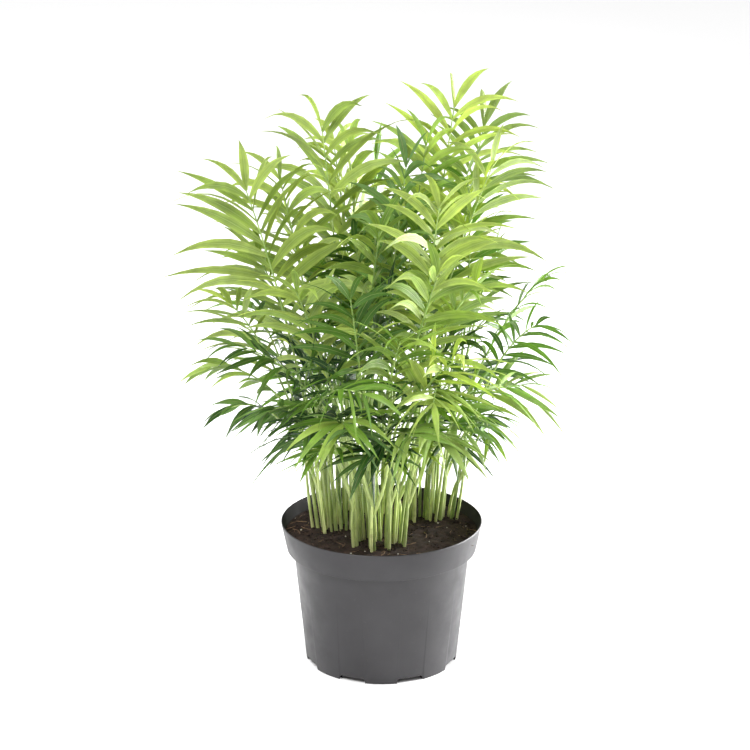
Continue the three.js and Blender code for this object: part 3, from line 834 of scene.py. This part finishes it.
# ---- Sizes and colours that a user may change ----
class PotSizes(PropertyGroup):
    """The nursery pot."""

    sides: IntProperty(name="Sides", description="Faces round the pot", default=128, min=48, max=256)
    edge: FloatProperty(
        name="Edge radius", description="Rounding of the moulded edges", default=0.0005, unit="LENGTH")
    notch_corner: FloatProperty(
        name="Notch corner", description="Rounding of a drain notch's upper corners",
        default=0.0028, unit="LENGTH")
    colour: FloatVectorProperty(
        name="Plastic", description="Colour of the moulded plastic", subtype="COLOR", size=3,
        default=(0.026, 0.0245, 0.027), min=0, max=1)


class SoilSizes(PropertyGroup):
    """The potting soil and what lies on it."""

    lumps: FloatProperty(name="Lumps", description="Height of the soil's lumps", default=0.004, unit="LENGTH")
    crumbs: IntProperty(name="Crumbs", description="Loose crumbs on the soil", default=900, min=0)
    fibres: IntProperty(name="Fibres", description="Root and bark fibres on the soil", default=120, min=0)
    grains: IntProperty(name="Grains", description="White grains on the soil", default=36, min=0)
    colour: FloatVectorProperty(
        name="Soil", description="Colour of the soil", subtype="COLOR", size=3,
        default=(0.0185, 0.0105, 0.0074), min=0, max=1)


class PalmSizes(PropertyGroup):
    """The young palms."""

    fullness: FloatProperty(
        name="Fullness", description="Width of a leaflet beside that of its solid",
        default=1.0, min=0.5, max=1.6)
    stalk_radius: FloatProperty(
        name="Leafstalk radius", description="Radius of a leafstalk above its sheath",
        default=0.00145, unit="LENGTH")
    rib_radius: FloatProperty(
        name="Rib radius", description="Radius of a frond's rib at its end", default=0.0005, unit="LENGTH")
    # The sunlit colour is the young leaves' paler green, with painted light on the high outer fronds.
    bright: FloatVectorProperty(
        name="Sunlit leaf", description="Colour of the young outer leaves", subtype="COLOR", size=3,
        default=(0.57, 0.71, 0.155), min=0, max=1)
    green: FloatVectorProperty(
        name="Green leaf", description="Colour of the leaves between those two", subtype="COLOR", size=3,
        default=(0.2, 0.395, 0.038), min=0, max=1)
    # The shaded colour is the old leaves' deeper green, with painted shade on the inner fronds.
    dark: FloatVectorProperty(
        name="Shaded leaf", description="Colour of the old inner leaves", subtype="COLOR", size=3,
        default=(0.02, 0.08, 0.01), min=0, max=1)
    glaucous: FloatVectorProperty(
        name="Bloomed leaf", description="Colour of leaves with a grey bloom", subtype="COLOR", size=3,
        default=(0.12, 0.22, 0.11), min=0, max=1)
    cane_foot: FloatVectorProperty(
        name="Cane foot", description="Colour of a stem where it leaves the soil", subtype="COLOR", size=3,
        default=(0.78, 0.74, 0.4), min=0, max=1)
    cane_low: FloatVectorProperty(
        name="Lower cane", description="Colour of the lower stem", subtype="COLOR", size=3,
        default=(0.72, 0.82, 0.29), min=0, max=1)
    cane_high: FloatVectorProperty(
        name="Upper cane", description="Colour of the leafstalks and ribs", subtype="COLOR", size=3,
        default=(0.24, 0.38, 0.085), min=0, max=1)


class StageSizes(PropertyGroup):
    """The floor, the light and the camera."""

    floor: FloatVectorProperty(
        name="Floor", description="Colour of the floor", subtype="COLOR", size=3,
        default=(0.94, 0.94, 0.94), min=0, max=1)
    sky: FloatProperty(
        name="Surrounding light", description="Strength of the soft light all round", default=0.5)
    ceiling: FloatProperty(
        name="Ceiling light", description="Power of the wide light overhead", default=345.0, unit="POWER")
    key: FloatProperty(
        name="Key light", description="Power of the light in front", default=56.0, unit="POWER")
    right: FloatProperty(
        name="Right light", description="Power of the low light at the right", default=175.0, unit="POWER")
    left: FloatProperty(
        name="Left light", description="Power of the light at the left", default=12.6, unit="POWER")


# ---- Pot ----
COLLAR_FOOT = (89.6, 111)
WALL_TOP = (83.2, 109.5)
BASE_RADIUS = 72
WALL = 1.6
FLOOR_TOP = 3.4
UNDERSIDE = [(26, 0), (30, 1.6), (56, 1.6), (60, 0), (BASE_RADIUS, 0)]
OUTSIDE = [(BASE_RADIUS, 0), WALL_TOP, COLLAR_FOOT, (RIM_RADIUS, POT_HEIGHT - WALL / 2)]
NOTCHES = 8
NOTCH_SIZE = (22, 26, 9.2)
FIRST_NOTCH_DEG = 22


def inside_radius(height, thickness):
    """The radius at a height of the outside profile moved in by a thickness."""
    heights = [point[1] + thickness / 2 for point in OUTSIDE]
    return float(np.interp(height, heights, [point[0] for point in OUTSIDE])) - thickness


class PALM_OT_pot(Operator):
    """Models the nursery pot, with its collar and drain notches"""

    bl_idname = "palm.pot"
    bl_label = "Nursery pot"

    def execute(self, context):
        sizes = context.scene.pot_sizes
        inner = [(inside_radius(height, WALL), height) for height in
                 (POT_HEIGHT - WALL, COLLAR_FOOT[1] + WALL / 2, WALL_TOP[1] + WALL / 2, FLOOR_TOP)]
        profile = UNDERSIDE + OUTSIDE[1:] + [(RIM_RADIUS - WALL / 2, POT_HEIGHT)] + inner
        pot = turned_solid("nursery_pot", profile, sizes.sides)
        cutters = [self.notch(i, sizes.notch_corner) for i in range(NOTCHES)]
        cutter = joined("notch_cutter", cutters)
        cut = pot.modifiers.new("notches", "BOOLEAN")
        cut.operation = "DIFFERENCE"
        cut.solver = "EXACT"
        cut.object = cutter
        edges = pot.modifiers.new("edges", "BEVEL")
        edges.width = sizes.edge
        edges.segments = 2
        edges.limit_method = "ANGLE"
        edges.angle_limit = math.radians(25)
        apply_all(pot)
        bpy.data.objects.remove(cutter)
        choose(pot)
        bpy.ops.object.shade_smooth_by_angle(angle=math.radians(32))
        pot.data.materials.clear()
        pot.data.materials.append(moulded_plastic(sizes.colour))
        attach(pot, "root")
        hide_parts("pot")
        return {"FINISHED"}

    @staticmethod
    def notch(number, corner):
        """A block that cuts one drain notch, with its two upper edges rounded."""
        clear_selection()
        bpy.ops.mesh.primitive_cube_add(size=1, location=(BASE_RADIUS * MM, 0, 0))
        block = bpy.context.object
        block.scale = [side * MM for side in NOTCH_SIZE]
        fix_place(block)
        top = NOTCH_SIZE[2] / 2 * MM
        edit_chosen(block, lambda point: point.z > top * 0.9)
        bpy.ops.mesh.select_mode(type="EDGE")
        bpy.ops.object.mode_set(mode="OBJECT")
        for edge in block.data.edges:
            ends = [block.data.vertices[i].co for i in edge.vertices]
            edge.select = all(end.z > top * 0.9 for end in ends) and abs(ends[0].y - ends[1].y) < top * 0.1
        bpy.ops.object.mode_set(mode="EDIT")
        bpy.ops.mesh.bevel(offset=corner, segments=4)
        bpy.ops.object.mode_set(mode="OBJECT")
        block.rotation_euler.z = math.radians(FIRST_NOTCH_DEG + number * 360 / NOTCHES)
        choose(block)
        block.location = (0, 0, 0)
        bpy.ops.object.transform_apply(location=True, rotation=True, scale=True)
        return block


# ---- Soil ----
GAP = 0.4
SOIL_EDGE = 126
SOIL_RINGS = 44


def soil_height(x, y):
    """The height of the soil's top before its lumps, in millimetres."""
    radius = math.hypot(x, y)
    edge = inside_radius(SOIL_EDGE, WALL + GAP)
    return SOIL_EDGE + (SOIL_TOP - SOIL_EDGE) * min(1, (1 - radius / edge) / 0.3)


class PALM_OT_soil(Operator):
    """Models the potting soil, and the crumbs, fibres and white grains on it"""

    bl_idname = "palm.soil"
    bl_label = "Potting soil"

    def execute(self, context):
        sizes = context.scene.soil_sizes
        soil = self.ground(sizes)
        crumbs = self.scatter("crumb", self.crumb(), sizes.crumbs, (1.1, 3.4), 61)
        grains = self.scatter("grain", self.crumb(), sizes.grains, (1.0, 2.2), 71)
        fibres = self.scatter("fibre", self.fibre(), sizes.fibres, (5, 15), 81)
        for piece, name, colour, spread in (
            (crumbs, "peat crumb", [channel * 1.25 for channel in sizes.colour], 0.6),
            (grains, "white grain", (0.5, 0.46, 0.4), 0.25),
            (fibres, "root fibre", (0.16, 0.1, 0.06), 0.5),
        ):
            piece.data.materials.append(soil_bits(name, colour, spread))
        soil.data.materials.append(damp_soil(sizes.colour))
        piece = joined("potting_soil", [soil, crumbs, grains, fibres])
        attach(piece, "root")
        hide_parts("soil")
        return {"FINISHED"}

    @staticmethod
    def ground(sizes):
        """The root ball, with a lumpy top."""
        thickness = WALL + GAP
        walls = [(inside_radius(height, thickness), height) for height in
                 (FLOOR_TOP + GAP, WALL_TOP[1] + thickness / 2, COLLAR_FOOT[1] + thickness / 2, SOIL_EDGE)]
        edge = walls[-1][0]
        top = []
        for ring in range(1, SOIL_RINGS):
            radius = edge * (1 - ring / SOIL_RINGS)
            top.append((radius, soil_height(radius, 0)))
        soil = turned_solid("soil_ground", walls + top, 160)
        group = soil.vertex_groups.new(name="top")
        for vertex in soil.data.vertices:
            radius = vertex.co.xy.length / MM
            if vertex.co.z / MM > SOIL_EDGE - 0.1 and radius < edge - 0.5:
                group.add([vertex.index], min(1, (edge - radius) / 6), "REPLACE")
        clods = bpy.data.textures.new("clods", "CLOUDS")
        clods.noise_scale = 0.011
        clods.noise_depth = 4
        lift = soil.modifiers.new("lumps", "DISPLACE")
        lift.texture = clods
        lift.texture_coords = "LOCAL"
        lift.direction = "Z"
        lift.vertex_group = "top"
        lift.mid_level = 0.55
        lift.strength = sizes.lumps
        apply_all(soil)
        choose(soil)
        bpy.ops.object.shade_smooth_by_angle(angle=math.radians(50))
        return soil

    @staticmethod
    def crumb():
        """A crumb of soil: a ball with its points shaken."""
        clear_selection()
        bpy.ops.mesh.primitive_ico_sphere_add(subdivisions=1, radius=0.5)
        crumb = bpy.context.object
        bpy.ops.object.mode_set(mode="EDIT")
        bpy.ops.mesh.select_all(action="SELECT")
        bpy.ops.transform.vertex_random(offset=0.16, seed=7)
        bpy.ops.object.mode_set(mode="OBJECT")
        return crumb

    @staticmethod
    def fibre():
        """A bent fibre: a thin prism, extruded in four steps."""
        clear_selection()
        bpy.ops.mesh.primitive_circle_add(
            vertices=4, radius=0.035, fill_type="NGON", rotation=(0, math.pi / 2, 0))
        fibre = bpy.context.object
        fix_place(fibre)
        bpy.ops.object.mode_set(mode="EDIT")
        bpy.ops.mesh.select_mode(type="FACE")
        bpy.ops.mesh.select_all(action="SELECT")
        for x, y, z in ((0.25, 0.08, 0.03), (0.25, 0.03, 0.01), (0.25, -0.08, -0.02), (0.22, -0.1, -0.03)):
            bpy.ops.mesh.extrude_region_move(TRANSFORM_OT_translate={"value": (x, y, z)})
        bpy.ops.object.mode_set(mode="OBJECT")
        face_outwards(fibre)
        return fibre

    @staticmethod
    def scatter(name, template, count, size, channel):
        """Copies of a bit, spread over the soil, each with its own size, turn and mesh."""
        copies = []
        edge = inside_radius(SOIL_EDGE, WALL + GAP) - 1
        for i in range(count):
            radius = edge * math.sqrt(draw(i, channel))
            angle = 2 * math.pi * draw(i, channel + 1)
            x, y = radius * math.cos(angle), radius * math.sin(angle)
            length = mix(size[0], size[1], draw(i, channel + 2) ** 2)
            z = soil_height(x, y) + min(length, 3) * 0.12
            turn = Matrix.Rotation(2 * math.pi * draw(i, channel + 3), 4, "Z")
            turn = turn @ Matrix.Rotation(0.5 * (draw(i, channel + 4) - 0.5), 4, "X")
            flat = Matrix.Diagonal((length * MM, length * MM * mix(0.7, 1, draw(i, channel + 5)),
                                    length * MM * mix(0.5, 0.9, draw(i, channel + 6)), 1))
            copy = template.copy()
            copy.data = template.data.copy()
            copy.data.transform(Matrix.Translation((x * MM, y * MM, z * MM)) @ turn @ flat)
            bpy.context.scene.collection.objects.link(copy)
            copies.append(copy)
        bpy.data.objects.remove(template)
        return joined("soil_" + name, copies)


# ---- Palms ----
LEAFLET_ROWS = [
    (0.05, 0.4), (0.15, 0.7), (0.28, 0.94), (0.42, 1.0), (0.57, 0.88), (0.71, 0.62),
    (0.84, 0.32), (0.94, 0.11),
]
LEAFLET_FOOT = 0.3
ROD_STEPS = 15


def rod_template():
    """A straight round rod: one unit long, one unit in radius, with both ends closed."""
    clear_selection()
    bpy.ops.mesh.primitive_circle_add(vertices=8, radius=1, fill_type="NGON", rotation=(math.pi / 2, 0, 0))
    rod = bpy.context.object
    fix_place(rod)
    bpy.ops.object.mode_set(mode="EDIT")
    bpy.ops.mesh.select_mode(type="FACE")
    bpy.ops.mesh.select_all(action="SELECT")
    for _ in range(ROD_STEPS):
        bpy.ops.mesh.extrude_region_move(TRANSFORM_OT_translate={"value": (0, 1 / ROD_STEPS, 0)})
    face_outwards(rod)
    choose(rod)
    bpy.ops.object.shade_smooth_by_angle(angle=math.radians(60))
    return rod


def leaflet_template():
    """A flat leaflet: one unit long and one unit to each side, folded along its midrib."""
    clear_selection()
    bpy.ops.mesh.primitive_circle_add(vertices=6, radius=1, fill_type="NGON", rotation=(math.pi / 2, 0, 0))
    leaflet = bpy.context.object
    fix_place(leaflet)
    section = {(0, 1): (0, 0.75), (1, 1): (0.52, 0.5), (1, -1): (1, -0.1), (0, -1): (0, 0.3)}
    for (out, rise), (x, z) in section.items():
        for side in ((-1, 1) if out else (1,)):
            def is_chosen(point, out=out, rise=rise, side=side):
                return round(point.x) == out * side and (point.z > 0) == (rise > 0) and abs(point.y) < 0.1
            points = [vertex.co.copy() for vertex in leaflet.data.vertices if is_chosen(vertex.co)]
            edit_chosen(leaflet, is_chosen)
            bpy.ops.transform.translate(value=(x * side - points[0].x, 0, z - points[0].z))
            bpy.ops.object.mode_set(mode="OBJECT")
    choose(leaflet)
    bpy.ops.object.mode_set(mode="EDIT")
    bpy.ops.mesh.select_mode(type="FACE")
    bpy.ops.mesh.select_all(action="SELECT")
    bpy.ops.transform.resize(value=(LEAFLET_FOOT, 1, 1), center_override=(0, 0, 0))
    along, width = 0, LEAFLET_FOOT
    for next_along, next_width in LEAFLET_ROWS:
        bpy.ops.mesh.extrude_region_move(TRANSFORM_OT_translate={"value": (0, next_along - along, 0)})
        bpy.ops.transform.resize(value=(next_width / width, 1, 1), center_override=(0, 0, 0))
        along, width = next_along, next_width
    bpy.ops.mesh.extrude_region_move(TRANSFORM_OT_translate={"value": (0, 1 - along, 0)})
    bpy.ops.mesh.merge(type="CENTER")
    face_outwards(leaflet)
    mesh = leaflet.data
    layer = mesh.uv_layers.new(name="leaf")
    for loop in mesh.loops:
        point = mesh.vertices[loop.vertex_index].co
        row = np.interp(point.y, [0, *[row[0] for row in LEAFLET_ROWS], 1],
                        [LEAFLET_FOOT, *[row[1] for row in LEAFLET_ROWS], 0.05])
        layer.data[loop.index].uv = (0.5 + 0.5 * point.x / row, point.y)
    choose(leaflet)
    bpy.ops.object.shade_smooth_by_angle(angle=math.radians(50))
    return leaflet


def grown_copy(template, place, tone=0.5, bloom=0.0):
    """A copy of a template with its own mesh, put in its place on a palm."""
    copy = template.copy()
    copy.data = template.data.copy()
    count = len(copy.data.vertices)
    points = np.empty(count * 3)
    copy.data.vertices.foreach_get("co", points)
    placed = place(points.reshape(-1, 3)) * MM
    copy.data.vertices.foreach_set("co", placed.ravel())
    for name, value in (("tone", tone), ("bloom", bloom)):
        copy.data.attributes.new(name, "FLOAT", "POINT").data.foreach_set("value", np.full(count, value))
    copy.data.update()
    bpy.context.scene.collection.objects.link(copy)
    return copy


def place_stem(stem):
    """Carries a rod's points to a stem, from under the soil to its tapering end."""
    def place(points):
        share = np.clip(points[:, 1], 0, 1)
        height = mix(-8, stem.height, share)
        along = unit(stem.lean)
        side = unit(np.cross(along, np.array([0.0, 1.0, 0.0])))
        front = np.cross(side, along)
        radius = STEM_RADIUS * mix(0.7, STEM_TAPER * 0.85, share)
        radius = radius * (1 + 0.14 * np.exp(-(((height - 1) / 7) ** 2)))
        radius = radius * (1 + 0.05 * np.sin(share * 21 + stem.number * 2.3))
        radius = radius * np.sqrt(np.clip((1 - share) * 6, 0.03, 1))
        centre = stem.foot + stem.lean * height[:, None]
        return centre + side * (points[:, 0] * radius)[:, None] + front * (points[:, 2] * radius)[:, None]

    return place


def place_cane(stem, frond_on_stem):
    """Carries a rod's points to the lower part of a leafstalk, which runs up beside the stem to its fork."""
    fork_height = stem.fronds[frond_on_stem].knots[0][2] - SOIL_TOP
    around = 2 * math.pi * draw(stem.number, 61) + math.pi * 0.8 * frond_on_stem
    beside = np.array([math.cos(around), math.sin(around), 0.0])

    def place(points):
        share = np.clip(points[:, 1], 0, 1)
        height = mix(-8, fork_height + 5, share)
        along = unit(stem.lean)
        side = unit(np.cross(along, np.array([0.0, 1.0, 0.0])))
        front = np.cross(side, along)
        radius = mix(1.5, 1.2, share)
        radius = radius * (1 + 0.06 * np.sin(share * 17 + stem.number * 1.7))
        radius = radius * np.sqrt(np.clip((1 - share) * 6, 0.03, 1))
        off = mix(5.0, 0.9, share**3)
        centre = stem.foot + stem.lean * height[:, None] + beside * off[:, None]
        return centre + side * (points[:, 0] * radius)[:, None] + front * (points[:, 2] * radius)[:, None]

    return place


def place_rib(frond, stalk_radius, rib_radius):
    """Carries a rod's points to a leafstalk and its rib, which starts as a sheath round the stem."""
    def place(points):
        share = np.clip(points[:, 1], 0, 1) ** 1.35
        low, bow, tip = frond.knots
        t = share[:, None]
        along = 2 * (1 - t) * (bow - low) + 2 * t * (tip - bow)
        along = along / np.linalg.norm(along, axis=1, keepdims=True)
        side = frond.side - along * (along @ frond.side)[:, None]
        side = side / np.linalg.norm(side, axis=1, keepdims=True)
        top = np.cross(along, side)
        radius = mix(stalk_radius, rib_radius, share) / MM
        sheath = np.exp(-((share * frond.length / 17) ** 2))
        radius = radius + (STEM_RADIUS * 0.7 - stalk_radius / MM) * sheath
        centre = curve_points(frond.knots, share)
        return centre + side * (points[:, 0] * radius)[:, None] + top * (points[:, 2] * radius)[:, None]

    return place


def place_blade(leaflet, fullness):
    """Carries a template leaflet's points to its place: it bends and twists, and arches over if it rises."""
    bend = 0.08 * (2 * draw(leaflet.item, 51) - 1) * leaflet.length
    over = leaflet.ahead * leaflet.ahead[2] - UP
    weight = min(1, max(0, leaflet.ahead[2] + 0.45))
    arch = unit(over) * (TIP_ARCH * weight * mix(0.6, 1.3, draw(leaflet.item, 53)) * leaflet.length)
    twist = math.radians(34) * (2 * draw(leaflet.item, 52) - 1)

    def place(points):
        share = np.clip(points[:, 1], 0, 1)
        centre, along, width, up = leaflet_frames(leaflet, share)
        angle = (twist * share)[:, None]
        wide = width * np.cos(angle) + up * np.sin(angle)
        high = up * np.cos(angle) - width * np.sin(angle)
        centre = centre + width * (bend * share * share)[:, None] + arch * (share**2.2)[:, None]
        out = points[:, 0] * leaflet.half_width * fullness
        rise = points[:, 2] * mix(1, 0.6, share)
        return centre + wide * out[:, None] + high * rise[:, None]

    return place


# How far a rising leaflet's tip arches over, as a share of its length.
TIP_ARCH = 0.13

# Tones of single fronds, where they stand out from their height's own: 0 is dark and 1 is bright. These also
# paint light and shade: high fronds set near 1 are painted lit, and inner and low fronds set near 0.1 are
# painted shaded.
OWN_TONES_AND_PAINTED_LIGHT = {
    0: 1.0, 1: 1.0, 2: 1.0, 3: 0.95, 4: 0.95, 6: 0.9, 7: 0.95, 12: 0.85, 15: 0.3, 21: 1.0, 22: 0.62,
    23: 0.8, 27: 0.6, 29: 0.5, 31: 0.75, 33: 0.3, 34: 0.35, 39: 0.95, 44: 0.85,
    45: 0.05, 47: 0.1, 49: 0.1, 51: 0.1,
    93: 0.2, 94: 0.1, 95: 0.1, 96: 0.1, 97: 0.2,
}


# Fronds with broad leaflets: how much wider these are than on the others.
OWN_FULLNESS = {
    1: 1.12, 21: 1.15, 22: 1.1, 23: 1.15, 28: 1.1, 93: 1.3, 94: 1.3, 95: 1.3, 96: 1.3, 97: 1.3,
}


def fullness_of(frond):
    """How broad a frond's leaflets are beside their solids: least on high fronds and those at the sides."""
    x, _, z = frond.knots[2]
    high = min(1, max(0, (z - 340) / 100))
    beside = min(1, max(0, (abs(x) - 45) / 45)) if x > 0 or z > 305 else 0
    usual = 0.98 if is_inner(frond) else mix(mix(1.42, 0.88, beside), 0.82, high)
    return usual * OWN_FULLNESS.get(frond.number, 1)


def tone_and_painted_light_of(frond):
    """How light a frond's leaflets are, from 0 to 1, with a random part for each frond: high and outer ones
    are lightest, as painted light, and low inner ones darkest, as painted shade.
    """
    tip = frond.knots[2]
    if frond.number in OWN_TONES_AND_PAINTED_LIGHT:
        return OWN_TONES_AND_PAINTED_LIGHT[frond.number]
    high = min(1, max(0, (tip[2] - 312) / 130))
    out = min(1, math.hypot(tip[0], tip[1]) / 150)
    beside = min(1, max(tip[0] / 90, -tip[0] / 130))
    return 0.68 * high + 0.34 * out + 0.16 * max(0, beside) + 0.66 * (draw(frond.number, 31) - 0.66)


class PALM_OT_palms(Operator):
    """Grows the young palms: each one's stem, leafstalks, ribs and leaflets"""

    bl_idname = "palm.palms"
    bl_label = "Young palms"

    def execute(self, context):
        sizes = context.scene.palm_sizes
        rod = rod_template()
        rod.data.materials.append(green_cane(sizes.cane_foot, sizes.cane_low, sizes.cane_high))
        blade = leaflet_template()
        blade.data.materials.append(leaf_blade(sizes.bright, sizes.green, sizes.dark, sizes.glaucous))
        stems, room = grow_palms()
        fronds = [frond for stem in stems for frond in stem.fronds]
        for frond in sorted(fronds, key=lambda frond: frond.number):
            add_between(frond, room)
        for stem in stems:
            copies = [grown_copy(rod, place_stem(stem), 0.5 * draw(stem.number, 62))]
            for i in range(min(2, len(stem.fronds))):
                copies.append(grown_copy(rod, place_cane(stem, i), 0.1 + 0.9 * draw(stem.number, 63 + i)))
            for frond in stem.fronds:
                copies.append(grown_copy(rod, place_rib(frond, sizes.stalk_radius, sizes.rib_radius)))
                tone = tone_and_painted_light_of(frond)
                bloom = max(0, draw(frond.number, 32) - 0.68) * 1.6
                fullness = sizes.fullness * fullness_of(frond)
                for leaflet in frond.leaflets:
                    own = tone + 0.34 * (draw(leaflet.item, 53) - 0.5)
                    own = min(1, max(0, own))
                    copies.append(grown_copy(blade, place_blade(leaflet, fullness), own, bloom))
            palm = joined(f"young_palm_{stem.number + 1:02d}", copies)
            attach(palm, "root")
            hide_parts(f"palm_{stem.number + 1:02d}")
        bpy.data.objects.remove(rod)
        bpy.data.objects.remove(blade)
        return {"FINISHED"}


# ---- Stage ----
CAMERA_PLACE = (-0.0062, -2.4, 1.05927)
CAMERA_AIM = (-0.0062, 0, 0.281)
CAMERA_VIEW_DEG = 15.724


class PALM_OT_stage(Operator):
    """Sets up the floor, the soft light and the camera"""

    bl_idname = "palm.stage"
    bl_label = "Stage"

    def execute(self, context):
        sizes = context.scene.stage_sizes
        scene = context.scene
        clear_selection()
        bpy.ops.mesh.primitive_plane_add(size=16, location=(0, 0, 0))
        floor = context.object
        floor.name = "studio_floor"
        finish = Finish("studio floor", 0.7, 0.2)
        finish.shader.inputs["Base Color"].default_value = (*sizes.floor, 1)
        floor.data.materials.append(finish.material)
        world = scene.world or bpy.data.worlds.new("studio")
        scene.world = world
        world.use_nodes = True
        sky = world.node_tree.nodes["Background"]
        sky.inputs["Color"].default_value = (1, 1, 1, 1)
        sky.inputs["Strength"].default_value = sizes.sky
        self.soft_light("ceiling_light", (0, 0, 4), 12, sizes.ceiling)
        self.soft_light("key_light", (-0.8, -1.5, 2.1), 1.1, sizes.key)
        self.soft_light("right_light", (1.7, 0.75, 0.3), 1.0, sizes.right)
        self.soft_light("left_light", (-1.8, 0.7, 0.8), 1.2, sizes.left)
        bpy.ops.object.camera_add(location=CAMERA_PLACE)
        camera = context.object
        camera.name = "photo_camera"
        camera.rotation_euler = (Vector(CAMERA_AIM) - camera.location).to_track_quat("-Z", "Y").to_euler()
        camera.data.sensor_width = 36
        camera.data.angle = math.radians(CAMERA_VIEW_DEG)
        camera.data.clip_end = 50
        scene.camera = camera
        scene.view_settings.view_transform = "Standard"
        scene.view_settings.look = "None"
        return {"FINISHED"}

    @staticmethod
    def soft_light(name, place, size, power):
        """A square area light that faces the plant."""
        bpy.ops.object.light_add(type="AREA", location=place)
        light = bpy.context.object
        light.name = name
        light.data.shape = "SQUARE"
        light.data.size = size
        light.data.energy = power
        light.rotation_euler = (Vector((0, 0, 0.25)) - light.location).to_track_quat("-Z", "Y").to_euler()


class PALM_PT_panel(Panel):
    """Lists the pieces and their sizes"""

    bl_label = "Potted parlour palm"
    bl_idname = "PALM_PT_panel"
    bl_space_type = "VIEW_3D"
    bl_region_type = "UI"
    bl_category = "Palm"

    def draw(self, context):
        for group, operators in PANEL:
            box = self.layout.box()
            sizes = getattr(context.scene, group)
            for name in sizes.__annotations__:
                box.prop(sizes, name)
            for operator in operators:
                box.operator(operator)


PANEL = [
    ("pot_sizes", ["palm.pot"]),
    ("soil_sizes", ["palm.soil"]),
    ("palm_sizes", ["palm.palms"]),
    ("stage_sizes", ["palm.stage"]),
]
GROUPS = {"pot_sizes": PotSizes, "soil_sizes": SoilSizes, "palm_sizes": PalmSizes, "stage_sizes": StageSizes}
CLASSES = [*GROUPS.values(), PALM_OT_pot, PALM_OT_soil, PALM_OT_palms, PALM_OT_stage, PALM_PT_panel]


def register():
    for each in CLASSES:
        bpy.utils.register_class(each)
    for name, group in GROUPS.items():
        setattr(bpy.types.Scene, name, PointerProperty(type=group))


def unregister():
    for name in GROUPS:
        delattr(bpy.types.Scene, name)
    for each in reversed(CLASSES):
        bpy.utils.unregister_class(each)


def main():
    register()
    bpy.ops.palm.stage()
    bpy.ops.palm.pot()
    bpy.ops.palm.soil()
    bpy.ops.palm.palms()
    bpy.context.view_layer.update()


if __name__ == "__main__":
    main()
